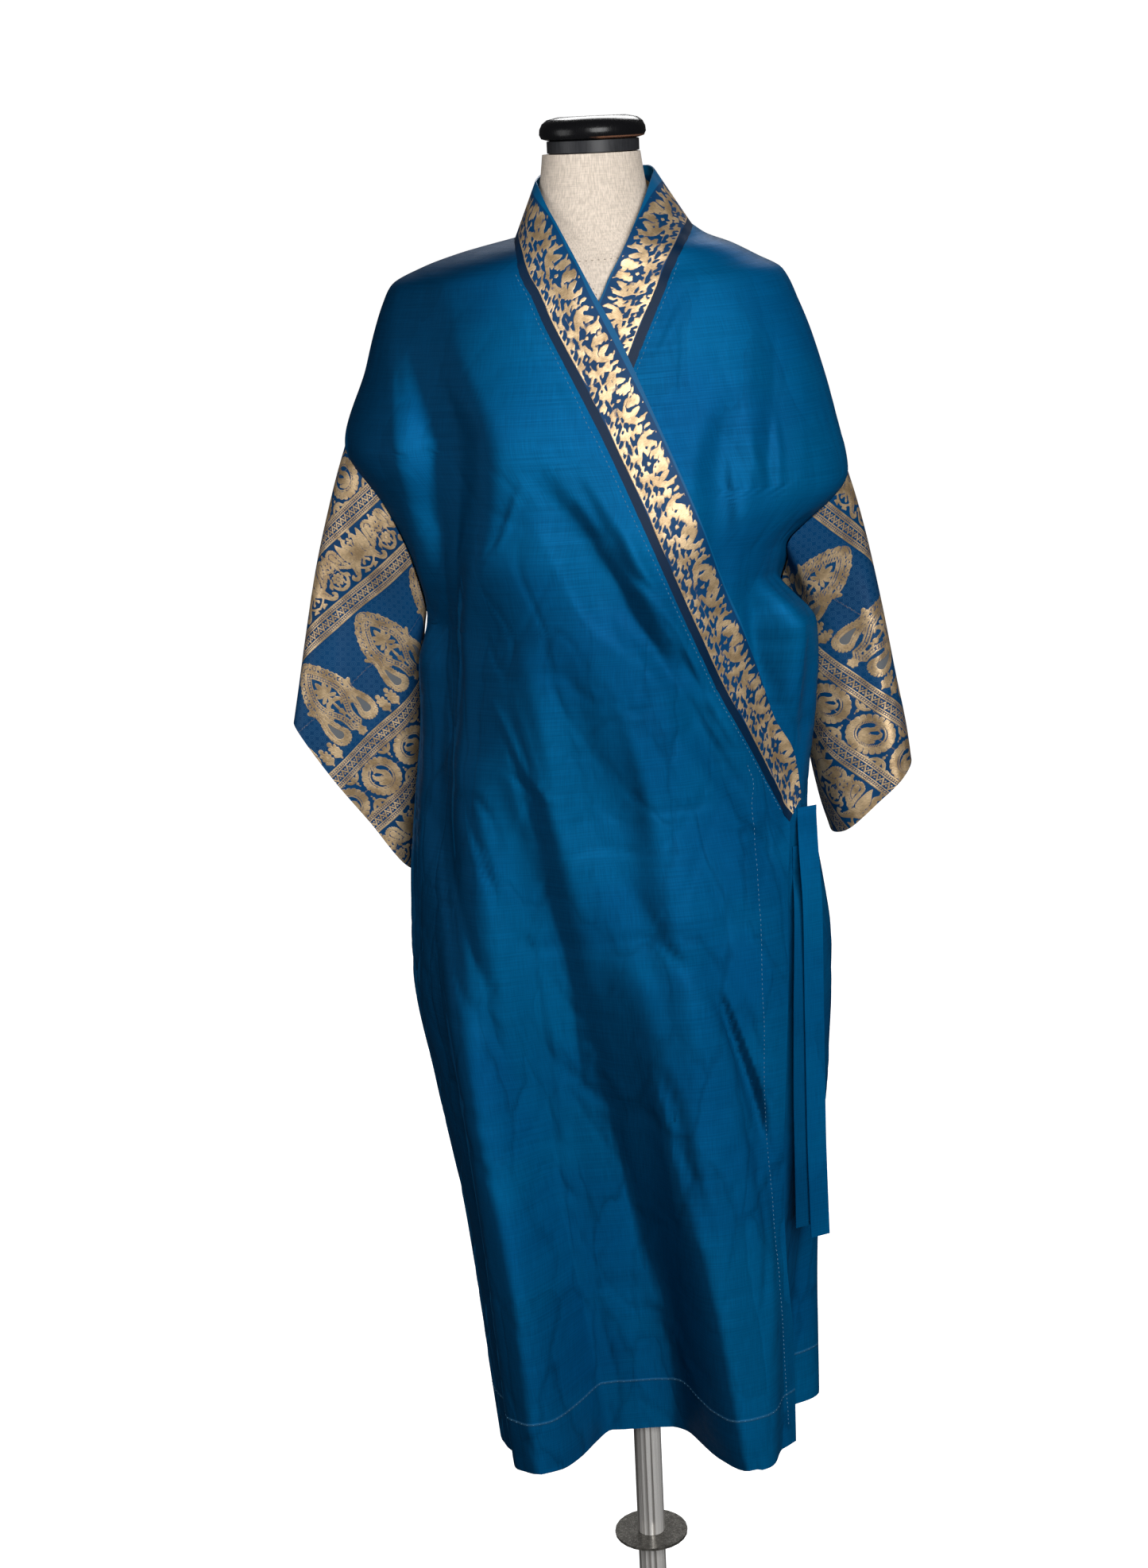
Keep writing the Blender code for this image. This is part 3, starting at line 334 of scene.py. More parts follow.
# Creases drawn on the form, each an uneven ridge or trough: how far it reaches to its low side
# and to its high side in mm, then points along it. A point is a place in thousandths of the half ring,
# a height in mm and a depth outward in tenths of a mm.
FRONT_CREASES = (
    (4, 6, ((418, 1412, 0), (389, 1389, 12), (369, 1366, 13), (347, 1336, 0))),
    (15, 26, ((440, 1437, 0), (450, 1409, 11), (462, 1386, 20), (509, 1338, 28), (567, 1287, 31),
        (638, 1234, 31), (682, 1180, 24), (746, 1121, 17), (851, 1059, 0))),
    (16, 9, ((431, 1427, 0), (448, 1379, -17), (489, 1338, -22), (518, 1303, -22), (540, 1267, -24),
        (575, 1233, -24), (626, 1180, -24), (668, 1137, -20), (721, 1091, -13), (792, 1053, 0))),
    (7, 7, ((470, 1421, 0), (482, 1371, -12), (523, 1323, -17), (555, 1300, -13), (589, 1284, 0))),
    (7, 14, ((484, 1424, 0), (494, 1378, 10), (536, 1330, 14), (572, 1300, 12), (602, 1282, 0))),
    (6, 7, ((567, 1276, 0), (602, 1250, -12), (631, 1217, -14), (670, 1177, 0))),
    (6, 8, ((584, 1279, 0), (616, 1250, 10), (650, 1211, 10), (687, 1174, 0))),
    (8, 14, ((641, 1183, 0), (675, 1152, -22), (719, 1107, -22), (763, 1074, 0))),
    (8, 6, ((511, 832, 0), (518, 792, 24), (528, 748, 29), (536, 688, 29), (548, 632, 24), (570, 596, 0))),
    (6, 9, ((518, 811, 0), (528, 785, -24), (540, 749, -31), (550, 696, -31), (565, 643, -22),
        (584, 596, 0))),
    (7, 9, ((475, 853, 0), (479, 807, 24), (484, 751, 26), (489, 693, 22), (492, 634, 0))),
    (6, 7, ((467, 739, 0), (479, 682, -22), (489, 613, -29), (499, 543, -24), (514, 481, 0))),
    (7, 8, ((499, 553, 0), (506, 502, 20), (528, 462, 24), (545, 429, 22), (553, 391, 0))),
    (11, 8, ((543, 936, 0), (570, 910, -22), (604, 873, -33), (633, 830, -40), (660, 782, -40),
        (680, 736, -29), (682, 692, 0))),
    (8, 12, ((599, 907, 0), (624, 868, 22), (655, 818, 26), (680, 772, 24), (697, 726, 0))),
    (6, 6, ((626, 749, 0), (650, 719, -29), (672, 689, -31), (680, 649, 0))),
    (5, 6, ((660, 609, 0), (675, 570, -20), (675, 543, -20), (655, 508, 0))),
    (6, 5, ((343, 913, 0), (357, 873, -14), (369, 822, -18), (365, 741, -14), (340, 645, 0))),
    (5, 7, ((384, 959, 0), (394, 910, 14), (401, 844, 15), (399, 788, 13), (377, 663, 0))),
    (5, 6, ((431, 976, 0), (435, 923, -12), (438, 844, -14), (431, 769, -11), (426, 712, 0))),
    (5, 8, ((299, 1203, 0), (340, 1168, 11), (372, 1132, 15), (416, 1094, 11), (457, 1082, 0))),
    (6, 6, ((345, 1125, 0), (377, 1107, -12), (406, 1091, 0))),
    (7, 9, ((521, 1230, 0), (548, 1173, 12), (584, 1121, 13), (619, 1078, 0))),
    (8, 8, ((494, 1216, 0), (514, 1150, -11), (528, 1082, -13), (531, 1023, 0))),
    (6, 8, ((516, 1006, 0), (528, 964, -13), (548, 924, -13), (558, 890, 0))),
    (6, 9, ((577, 1039, 0), (577, 982, 12), (582, 930, 11), (592, 896, 0))),
    (4, 4, ((289, 500, 0), (316, 501, 10), (338, 501, 11), (396, 510, 11), (484, 520, 0))),
    (4, 4, ((570, 502, 0), (587, 510, 10), (621, 510, 10), (653, 510, 0))),
    (8, 8, ((699, 1454, 0), (704, 1422, 18), (704, 1386, 20), (731, 1356, 0))),
    (8, 9, ((675, 1451, 0), (670, 1418, 15), (658, 1382, 15), (685, 1348, 0))),
    (7, 7, ((677, 1448, 0), (675, 1414, -15), (672, 1381, -17), (699, 1350, 0))),
    (7, 6, ((760, 1465, 0), (748, 1422, 20), (736, 1385, 18), (770, 1353, 0))),
    (3, 4, ((633, 1550, 0), (624, 1524, -10), (614, 1495, -10), (602, 1460, 0))),
    (8, 8, ((677, 1574, 0), (633, 1550, 8), (599, 1526, 8), (567, 1498, 0))),
    (7, 7, ((668, 1582, 0), (619, 1559, -8), (589, 1530, -8), (565, 1510, 0))),
    (7, 9, ((242, 1338, 0), (159, 1295, 18), (79, 1241, 22), (81, 1193, 0))),
    (8, 12, ((137, 1072, 0), (203, 1003, -18), (242, 923, -20), (262, 841, 0))),
    (4, 4, ((633, 1051, 0), (677, 1041, -13), (736, 1036, -14), (792, 1038, 0))),
    (4, 5, ((636, 1012, 0), (677, 1000, 11), (721, 998, 11), (773, 1000, 0))),
    (4, 4, ((643, 963, 0), (680, 956, -11), (716, 956, -11), (756, 962, 0))),
    (4, 4, ((648, 930, 0), (677, 923, 9), (709, 923, 9), (741, 927, 0))),
)
SHARP_CREASES = (
    (60, 74, ((247, 1148, 0), (269, 1075, 50), (289, 1009, 80), (291, 907, 100), (286, 821, 110),
        (281, 752, 110), (279, 682, 110), (281, 576, 100), (279, 465, 90), (277, 393, 70))),
    (46, 96, ((250, 1543, 0), (301, 1505, 50), (352, 1477, 80), (377, 1454, 90), (362, 1415, 90),
        (311, 1372, 90), (272, 1332, 80), (132, 1269, 50), (86, 1201, 20), (76, 1147, 0))),
    (84, 44, ((470, 1018, 0), (482, 942, -30), (487, 844, -60), (489, 742, -80), (492, 634, -80),
        (494, 523, -80), (497, 419, -70), (497, 336, -50))),
    (44, 84, ((399, 1273, 0), (428, 1208, 25), (470, 1114, 60), (494, 999, 85), (509, 883, 110),
        (523, 775, 120), (548, 653, 120), (587, 524, 100), (628, 378, 70))),
    (12, 9, ((594, 929, 0), (611, 880, -30), (641, 811, -50), (670, 746, -45), (697, 699, -25),
        (724, 642, 0))),
    (10, 8, ((633, 744, 0), (665, 678, -25), (685, 613, -35), (680, 541, -30), (660, 471, 0))),
    (26, 34, ((822, 1544, 0), (782, 1501, -30), (753, 1451, -45), (719, 1401, -45), (712, 1365, -30),
        (782, 1316, 0))),
    (26, 26, ((694, 1484, 0), (690, 1439, 15), (670, 1396, 20), (690, 1350, 15), (753, 1310, 0))),
    (7, 9, ((350, 1208, 0), (384, 1152, 10), (418, 1095, 13), (445, 1045, 10), (462, 1002, 0))),
    (6, 8, ((338, 1175, 0), (369, 1119, -10), (399, 1061, -12), (431, 1003, -10), (448, 952, 0))),
    (6, 7, ((396, 1061, 0), (418, 1028, 9), (435, 986, 9), (440, 933, 0))),
)
BACK_CREASES = (
    (12, 20, ((240, 1530, 0), (270, 1470, 24), (290, 1400, 33), (270, 1320, 29), (220, 1250, 0))),
    (10, 18, ((760, 1520, 0), (730, 1460, 24), (700, 1390, 33), (730, 1310, 26), (780, 1240, 0))),
    (16, 10, ((340, 1420, 0), (380, 1340, -26), (410, 1240, -33), (420, 1140, -29), (400, 1050, 0))),
    (10, 14, ((660, 1400, 0), (620, 1320, -24), (590, 1230, -33), (580, 1130, -26), (600, 1050, 0))),
    (7, 10, ((500, 1590, 0), (500, 1540, 11), (490, 1480, 13), (500, 1420, 0))),
    (8, 9, ((360, 1200, 0), (430, 1150, 18), (520, 1120, 22), (600, 1100, 0))),
    (7, 8, ((640, 1190, 0), (560, 1130, -18), (470, 1090, -18), (400, 1070, 0))),
    (12, 24, ((380, 1060, 0), (360, 960, 33), (350, 840, 44), (340, 700, 42), (330, 540, 33),
        (320, 400, 0))),
    (22, 12, ((620, 1050, 0), (630, 950, 33), (640, 820, 44), (650, 680, 40), (660, 520, 31),
        (670, 390, 0))),
    (8, 10, ((470, 980, 0), (460, 880, -20), (450, 760, -26), (450, 620, -22), (460, 500, 0))),
    (8, 9, ((550, 940, 0), (560, 850, 20), (555, 740, 24), (540, 620, 20), (530, 500, 0))),
    (6, 7, ((240, 960, 0), (260, 870, -15), (270, 770, -18), (260, 660, 0))),
    (6, 7, ((760, 940, 0), (740, 850, 15), (730, 740, 18), (740, 640, 0))),
    (5, 6, ((200, 760, 0), (220, 690, 13), (220, 600, 13), (200, 520, 0))),
    (6, 6, ((820, 780, 0), (800, 700, -14), (800, 600, -14), (820, 500, 0))),
    (4, 4, ((300, 522, 0), (380, 516, 10), (470, 512, 10), (540, 516, 0))),
    (4, 4, ((580, 510, 0), (660, 516, 10), (740, 512, 9), (800, 516, 0))),
    (7, 9, ((140, 1360, 0), (170, 1330, 24), (180, 1290, 26), (150, 1250, 0))),
    (7, 8, ((860, 1350, 0), (830, 1320, -22), (830, 1280, -24), (860, 1240, 0))),
    (8, 12, ((120, 1180, 0), (140, 1110, 20), (150, 1030, 20), (130, 950, 0))),
    (8, 12, ((880, 1170, 0), (860, 1100, -20), (850, 1020, -20), (870, 940, 0))),
)
CREASES = (
    # on the front, sharpness, creases
    (True, 0.6, FRONT_CREASES),
    (True, 0.9, SHARP_CREASES),
    (False, 0.6, BACK_CREASES),
)
CREASE_FADE = (0.001, 0.016)
# The back's weave and crumples run on from here, so that they mirror no front's
BACK_PLACE = 1.7
CRINKLES = (
    # seed, tilt in degrees, width and height of a cell in m, depth in m
    (3, 14.0, 0.050, 0.190, 0.0013),
    (7, 24.0, 0.028, 0.100, 0.0009),
    (11, -34.0, 0.034, 0.120, 0.0008),
)
BACK_SEED = 100
CRINKLE_SHARPNESS = 13.0
CRINKLE_FADE = ((0.33, 0.5), (0.50, 1.0), (1.10, 1.0), (1.30, 0.5), (1.50, 0.25), (1.60, 0.0))
# How much each part of a normal counts as facing the light, for the shade painted into the silk where
# it faces away: to the viewer's right, to the front or back, and up. Where SIDE_TURN is passed, a face
# turned to either side has at least SIDE_FACING.
FACING_WEIGHTS = (0.85, 0.97, 0.30)
SIDE_FACING = 0.95
SIDE_TURN = (0.86, 0.985)


def smoothstep(low, high, value):
    part = np.clip((np.asarray(value, dtype=float) - low) / (high - low), 0.0, 1.0)
    return part * part * (3.0 - 2.0 * part)


def blend(first, second, part):
    return first + (second - first) * part


def hermite(low, high, low_slope, high_slope, part):
    """Smooth curve between two values, from the slope at each."""
    square, cube = part * part, part * part * part
    value = (2 * cube - 3 * square + 1) * low + (cube - 2 * square + part) * low_slope
    return value + ((3 * square - 2 * cube) * high + (cube - square) * high_slope)


def rounded(value, power):
    return np.sign(value) * np.abs(value) ** power


def slope_at(table, column, index):
    """Slope of a column at a row, flat where the column turns, so that it never overshoots."""
    pairs = [table[row:row + 2] for row in (index - 1, index) if 0 <= row < len(table) - 1]
    slopes = [(high[column] - low[column]) / (high[0] - low[0]) for low, high in pairs]
    before, after = slopes[0], slopes[-1]
    if len(slopes) == 1:
        return before
    return 2.0 * before * after / (before + after) if before * after > 0.0 else 0.0


def read_table(table, key):
    """Values of a table's columns between its rows, on smooth curves."""
    key = min(max(key, table[0][0]), table[-1][0])
    index = 0
    while index < len(table) - 2 and key > table[index + 1][0]:
        index += 1
    run = table[index + 1][0] - table[index][0]
    part = (key - table[index][0]) / run
    values = []
    for column in range(1, len(table[0])):
        slopes = [slope_at(table, column, row) * run for row in (index, index + 1)]
        values.append(hermite(table[index][column], table[index + 1][column], *slopes, part))
    return values


def half_ring_place(x, height):
    """Part of the half ring, 0 at the viewer's left and 1 at the right, where the ring has this x."""
    left, right, _, _, _, _, squareness = read_table(BODY_SECTIONS, height)
    across = (0.5 * (left + right) - x) / (0.5 * (right - left))
    across = min(max(across, -1.0), 1.0)
    cosine = math.copysign(abs(across) ** (squareness / 2.0), across)
    return math.acos(cosine) / math.pi


def fold_depth(front, places, height):
    """Sum of the folds at places on the half ring, faded out where the front meets the back."""
    total = np.zeros_like(places)
    for side, top, top_x, top_depth, mid, mid_x, mid_depth, low, low_x, low_depth, width, flat in FOLDS:
        if (side > 0) != front or height > top + FOLD_FADE or height < low - FOLD_FADE:
            continue
        path = ((low, low_x, low_depth), (mid, mid_x, mid_depth), (top, top_x, top_depth))
        x, depth = read_table(path, height)
        fade = smoothstep(top + FOLD_FADE, top, height)
        if low > HEM:
            fade = fade * smoothstep(low - FOLD_FADE, low, height)
        away = np.abs(places - half_ring_place(x, height)) * HALF_GIRTH / width
        total += depth * fade * (1.0 - smoothstep(flat, 1.0, away))
    return total * smoothstep(0.0, FOLD_PLACES[0], places) * smoothstep(1.0, FOLD_PLACES[1], places)


def tilt_at(height):
    """How much the shoulders rise for each metre to the viewer's right."""
    return SHOULDER_TILT * smoothstep(*TILT_HEIGHTS, height)


def body_row(front, places, height, lift=0.0):
    """Points of the robe's form at places on its front or back half ring, all at one height."""
    places = np.atleast_1d(np.asarray(places, dtype=float))
    left, right, fore, aft, left_depth, right_depth, squareness = read_table(BODY_SECTIONS, height)
    cosine, sine = np.cos(np.pi * places), np.sin(np.pi * places)
    power = 2.0 / squareness
    half = 0.5 * (right - left)
    x = 0.5 * (left + right) - half * rounded(cosine, power)
    middle = np.where(cosine > 0.0, left_depth, right_depth)
    end = fore if front else aft
    y = middle + (end - middle) * np.abs(sine) ** power
    face_x = -cosine * np.abs(end - middle)
    face_y = -sine * half if front else sine * half
    out = (fold_depth(front, places, height) + lift) / np.hypot(face_x, face_y)
    x, y = x + face_x * out, y + face_y * out
    return np.stack([x, y, height + tilt_at(height) * x], axis=-1)


def no_lift(places, height):
    return np.zeros_like(places)


def under_lift(places, height):
    """How far the under front lies inside the upper one; nothing at its side seam and neck."""
    start, full = blend(*np.array(UNDER_PLACES), smoothstep(*UNDER_HEIGHTS, height))
    sideways = smoothstep(start, full, places)
    upward = smoothstep(*UNDER_NECK, height)
    recess = smoothstep(RECESS_TOP, HEM, height) * smoothstep(*RECESS_START, places)
    recess = recess * smoothstep(*RECESS_END, places)
    return -UNDER_LAYER * sideways * upward - HEM_RECESS * recess


def right_seam_place(height):
    """Half ring place of the upper front's inner edge: its free edge, then the neckband seam."""
    table = OVERLAP_EDGE if height < WAIST else RIGHT_BAND
    return half_ring_place(read_table(table, height)[0], height)


def left_seam_place(height):
    table = UNDER_EDGE if height < WAIST else LEFT_BAND
    return half_ring_place(read_table(table, height)[0], height)


def armhole_place(side, front, height):
    """Part of the half ring that the sleeve seam takes from the side, at this height."""
    low, high = ARMHOLES[side]
    if height <= low or height >= high:
        return 0.0
    part = (height - low) / (high - low)
    opening = ARMHOLE_OPENING * math.sqrt(math.sin(math.pi * part))
    if front and side > 0:
        opening *= blend(POUCH_SEAM, 1.0, smoothstep(*POUCH_TOP, height))
    return float(opening)


def odd_count(length):
    """Odd number of rows or columns, about one panel step apart."""
    return 2 * int(math.ceil(length / PANEL_STEP / 2.0)) + 1


def even_heights(front, top):
    """Heights from the hem up whose rows are evenly spaced along the cloth."""
    fine = np.linspace(HEM, top, FINE_ROWS)
    rows = np.array([body_row(front, MARK_PLACES, height) for height in fine])
    moves = np.linalg.norm(np.diff(rows, axis=0), axis=-1).max(axis=1)
    length = np.concatenate([[0.0], np.cumsum(moves)])
    return np.interp(np.linspace(0.0, length[-1], odd_count(length[-1])), length, fine)


def unit(vectors):
    size = np.linalg.norm(vectors, axis=-1, keepdims=True)
    return vectors / np.maximum(size, 1e-12)


def grid_normals(points, wrap=False):
    """Normals of a grid of points, from the points on either side."""
    if wrap:
        across = np.roll(points, -1, axis=1) - np.roll(points, 1, axis=1)
    else:
        across = np.gradient(points, axis=1)
    return unit(np.cross(across, np.gradient(points, axis=0)))


def set_back(points, edges, amount):
    """Move the outer columns or the first row of a grid a little towards its inside."""
    if "left" in edges:
        points[:, 0] += unit(points[:, 1] - points[:, 0]) * amount
    if "right" in edges:
        points[:, -1] += unit(points[:, -2] - points[:, -1]) * amount
    if "first" in edges:
        points[0] += unit(points[1] - points[0]) * amount


def edge_strip(outer, inner, skip):
    """Triangles between a fine border and one with a point for every few of its points."""
    faces = []
    for index in range(len(inner) - 1):
        fine = outer[skip * index:skip * index + skip + 1]
        low, high = inner[index], inner[index + 1]
        faces += [(low, second, first) for first, second in zip(fine[:2], fine[1:2])]
        faces.append((low, high, fine[1]))
        faces += [(high, second, first) for first, second in zip(fine[1:], fine[2:])]
    return faces


def grid_faces(ids, wrap=False, flip=False):
    """Four-sided faces between the points of a grid, given their numbers."""
    ids = np.concatenate([ids, ids[:, :1]], axis=1) if wrap else ids
    corners = (ids[:-1, :-1], ids[:-1, 1:], ids[1:, 1:], ids[1:, :-1])
    return np.stack(corners[::-1] if flip else corners, axis=-1).reshape(-1, 4).tolist()


def grid_ids(rows, columns, first=0):
    return first + np.arange(rows * columns).reshape(rows, columns)


def add_object(name, data):
    thing = bpy.data.objects.new(name, data)
    bpy.context.scene.collection.objects.link(thing)
    return thing


def add_mesh(name, points, faces, sharp=None):
    """Mesh object; with an angle given it is smooth, but for the edges that are sharper."""
    mesh = bpy.data.meshes.new(name)
    mesh.from_pydata(np.asarray(points).reshape(-1, 3).tolist(), [], faces)
    if sharp is not None:
        mesh.shade_smooth()
        mesh.set_sharp_from_angle(angle=math.radians(sharp))
    return add_object(name, mesh)


def shell(name, points, wrap=False, fields=(), skip=2, shade=0.0):
    """Closed cloth shell round a grid of points; its lining side has fewer rows and columns."""
    normals = grid_normals(points, wrap)
    rows, columns = points.shape[:2]
    outer = points + normals * CLOTH * 0.5
    inner = (points - normals * CLOTH * 0.5)[::skip, ::skip]
    few_rows, few_columns = inner.shape[:2]
    outer_ids = grid_ids(rows, columns)
    inner_ids = grid_ids(few_rows, few_columns, rows * columns)
    faces = grid_faces(outer_ids, wrap) + grid_faces(inner_ids, wrap, flip=True)
    if wrap:
        outer_ids = np.concatenate([outer_ids, outer_ids[:, :1]], axis=1)
        inner_ids = np.concatenate([inner_ids, inner_ids[:, :1]], axis=1)
    faces += edge_strip(outer_ids[0], inner_ids[0], skip)
    faces += edge_strip(outer_ids[-1][::-1], inner_ids[-1][::-1], skip)
    if not wrap:
        faces += edge_strip(outer_ids[::-1, 0], inner_ids[::-1, 0], skip)
        faces += edge_strip(outer_ids[:, -1], inner_ids[:, -1], skip)
    # Painted shade for the silk: how far each face turns towards the light, less by any shade given; faces
    # turned to either side stay fairly light
    sideways, fore_and_aft = np.abs(normals[..., 0]), np.abs(normals[..., 1])
    facing = FACING_WEIGHTS[0] * normals[..., 0] + FACING_WEIGHTS[1] * fore_and_aft
    facing = facing + FACING_WEIGHTS[2] * normals[..., 2]
    facing = np.maximum(facing, SIDE_FACING * smoothstep(*SIDE_TURN, sideways)) - shade
    thing = add_mesh(name, np.concatenate([outer.reshape(-1, 3), inner.reshape(-1, 3)]), faces, CLOTH_SHARP)
    for title, values in (*fields, ("facing", facing)):
        sides = (values, values[::skip, ::skip])
        flat = np.concatenate([side.reshape(side.shape[0] * side.shape[1], -1) for side in sides])
        kind, key = ("FLOAT_VECTOR", "vector") if flat.shape[1] == 3 else ("FLOAT", "value")
        data = thing.data.attributes.new(title, kind, "POINT").data
        data.foreach_set(key, flat.astype(np.float32).ravel())
    return thing


def flat_field(across, along):
    """Place on the flat cloth in metres, as a vector for the surfaces to read."""
    return np.stack([across, along, np.zeros_like(across)], axis=-1)


def panel_grid(front, edges_at, heights, lift_at):
    """Grid of a panel between its two edges, and each point's place on the half ring."""
    widest = max(edges_at(height)[1] - edges_at(height)[0] for height in heights)
    points, places = [], []
    for height in heights:
        line = np.linspace(*edges_at(height), odd_count(widest * HALF_GIRTH))
        points.append(body_row(front, line, height, lift_at(line, height)))
        places.append(line)
    return np.array(points), np.array(places)


def no_shade(places, levels):
    return 0.0


def gap_shade(places, levels):
    """Shade on the under front in the narrow gap beside the upper one's edge, behind the ties."""
    edge = np.array([right_seam_place(min(height, WAIST)) for height in levels[:, 0]])
    shade = GAP_SHADE * smoothstep(*GAP_REACH, (places - edge[:, None]) * HALF_GIRTH)
    return shade * smoothstep(*GAP_LOW, levels) * smoothstep(*GAP_HIGH, levels)


def panel(name, front, edges_at, top, lift_at, shade_at=no_shade):
    heights = even_heights(front, top)
    points, places = panel_grid(front, edges_at, heights, lift_at)
    levels = np.repeat(heights[:, None], places.shape[1], axis=1)
    set_back(points, ("left", "right"), SEAM_SETBACK)
    if not front:
        points, places, levels = points[:, ::-1], places[:, ::-1], levels[:, ::-1]
    points = points + grid_normals(points) * crease_field(front, places, levels, edges_at)[..., None]
    across = places * HALF_GIRTH + (0.0 if front else BACK_PLACE)
    fields = (("cloth", flat_field(across, levels)),)
    return shell(name, points, fields=fields, shade=shade_at(places, levels))


def smooth_line(points, steps=6):
    """Points along a line again, closer together and on smooth curves."""
    points = np.asarray(points, dtype=float)
    before = np.concatenate([2 * points[:1] - points[1:2], points[:-1]])
    after = np.concatenate([points[1:], 2 * points[-1:] - points[-2:-1]])
    slopes = 0.5 * (after - before)
    line = []
    for ends in zip(points, points[1:], slopes, slopes[1:]):
        line += [hermite(*ends, part) for part in np.arange(steps) / steps]
    return np.array(line + [points[-1]])


def to_segment(x, y, start, end):
    """Part along a segment of the place nearest to each point, how far it is, and on which side."""
    run_x, run_y = end[0] - start[0], end[1] - start[1]
    off_x, off_y = x - start[0], y - start[1]
    size = max(float(run_x ** 2 + run_y ** 2), 1e-12)
    part = np.clip((off_x * run_x + off_y * run_y) / size, 0.0, 1.0)
    away = np.hypot(off_x - part * run_x, off_y - part * run_y)
    return part, away, off_x * run_y - off_y * run_x


def nearest_on_line(across, up, line):
    """Signed distance to a line, positive on its right going up, and the part along it."""
    best = np.full(across.shape, np.inf)
    side, along = np.zeros(across.shape), np.zeros(across.shape)
    for index in range(len(line) - 1):
        part, away, turn = to_segment(across, up, line[index], line[index + 1])
        nearer = away < best
        best = np.where(nearer, away, best)
        side = np.where(nearer, turn, side)
        along = np.where(nearer, index + part, along)
    return np.where(side < 0.0, -best, best), along


def soft_noise(seed, across, up):
    """Smooth random field between -0.5 and 0.5 on cells one unit wide and high."""
    lattice = np.random.default_rng(seed).random((64, 64)) - 0.5
    left, low = np.floor(across).astype(int), np.floor(up).astype(int)
    right_part, high_part = smoothstep(0.0, 1.0, across - left), smoothstep(0.0, 1.0, up - low)
    lower = blend(lattice[left % 64, low % 64], lattice[(left + 1) % 64, low % 64], right_part)
    upper = blend(lattice[left % 64, (low + 1) % 64], lattice[(left + 1) % 64, (low + 1) % 64], right_part)
    return blend(lower, upper, high_part)


def crinkles(front, across, levels):
    """Fine crumples of crisp silk: narrow valleys where a smooth random field is zero."""
    total = np.zeros_like(across)
    for seed, tilt, width, height, depth in CRINKLES:
        turn = math.radians(tilt)
        x = across * math.cos(turn) + levels * math.sin(turn)
        y = levels * math.cos(turn) - across * math.sin(turn)
        field = soft_noise(seed if front else seed + BACK_SEED, x / width, y / height)
        total += depth * (np.minimum(CRINKLE_SHARPNESS * np.abs(field), 1.0) - 0.8)
    heights, amounts = zip(*CRINKLE_FADE)
    return total * np.interp(levels, heights, amounts)


def crease_field(front, places, levels, edges_at):
    """Depth of all creases of one side at each point, faded out at the seams."""
    across = places * HALF_GIRTH
    total = crinkles(front, across, levels)
    creases = [(sharp, *crease) for side, sharp, rows in CREASES if side == front for crease in rows]
    for sharp, low_reach, high_reach, path in creases:
        path = smooth_line(path) * np.array([0.001, 0.001, 0.0001])
        if path[0, 1] > path[-1, 1]:
            path = path[::-1]
        line = path[:, :2] * np.array([HALF_GIRTH, 1.0])
        reach = 0.001 * max(low_reach, high_reach)
        low, high = line.min(axis=0) - reach, line.max(axis=0) + reach
        near = (across > low[0]) & (across < high[0]) & (levels > low[1]) & (levels < high[1])
        if not near.any():
            continue
        away, along = nearest_on_line(across[near], levels[near], line)
        depth = np.interp(along, np.arange(len(path)), path[:, 2])
        part = np.abs(away) / np.where(away < 0.0, 0.001 * low_reach, 0.001 * high_reach)
        soft = 1.0 - smoothstep(0.0, 1.0, part)
        total[near] += depth * blend(soft, np.clip(1.0 - part, 0.0, 1.0), sharp)
    edges = np.array([edges_at(height) for height in levels[:, 0]])
    inside = np.minimum(places - edges[:, :1], edges[:, 1:] - places) * HALF_GIRTH
    return total * smoothstep(*CREASE_FADE, inside)


def right_front_edges(height):
    return armhole_place(-1, True, height), right_seam_place(height)


def left_front_edges(height):
    return left_seam_place(height), 1.0 - armhole_place(1, True, height)


def back_edges(height):
    return armhole_place(-1, False, height), 1.0 - armhole_place(1, False, height)


def body_normal(front, place, height, lift_at):
    """Outward normal of the robe's form at one place."""
    step = 0.004

    def at(shift, level):
        spot = place + shift
        half = front
        if not 0.0 <= spot <= 1.0:
            half = not front
            spot = -spot if spot < 0.0 else 2.0 - spot
        spots = np.array([spot])
        return body_row(half, spots, level, lift_at(spots, level) if half else 0.0)[0]

    around = at(step, height) - at(-step, height)
    rise = at(0.0, min(height + step, NECKLINE)) - at(0.0, height - step)
    normal = unit(np.cross(around, rise))
    return normal if front else -normal


def armhole_ring(side, count):
    """Points of the sleeve seam, from its top down the front and up the back, and their normals."""
    low, high = ARMHOLES[side]
    ring, normals = [], []
    for index in range(count):
        turn = 2.0 * math.pi * index / count
        height = low + (high - low) * 0.5 * (1.0 + math.cos(turn))
        front = index <= count // 2
        place = armhole_place(side, front, height)
        place = 1.0 - place if side > 0 else place
        lift_at = under_lift if front and side > 0 else no_lift
        spots = np.array([place])
        ring.append(body_row(front, spots, height, lift_at(spots, height))[0])
        normals.append(body_normal(front, place, height, lift_at))
    return np.array(ring), np.array(normals)


def sleeve_rows(side, table, around, part):
    """Points of the hanging tube: around is 0 at the outer fold, a half at the inner one."""
    row = np.array(read_table(table, part))
    outer, inner, half_depth = row[:3], row[3:6], row[6]
    cosine, sine = np.cos(2.0 * np.pi * around), np.sin(2.0 * np.pi * around)
    points = (outer + inner) * 0.5 + (outer - inner) * 0.5 * cosine[:, None]
    fold = np.zeros_like(around)
    for owner, start, end, depth, width in SLEEVE_FOLDS:
        if owner == side:
            away = np.abs(around - blend(start, end, part)) / width
            fold += depth * (1.0 - smoothstep(0.0, 1.0, away))
    depth = half_depth + fold * smoothstep(*SLEEVE_FOLD_START, part)
    points[:, 1] -= rounded(sine, SLEEVE_SQUARENESS) * depth
    return points


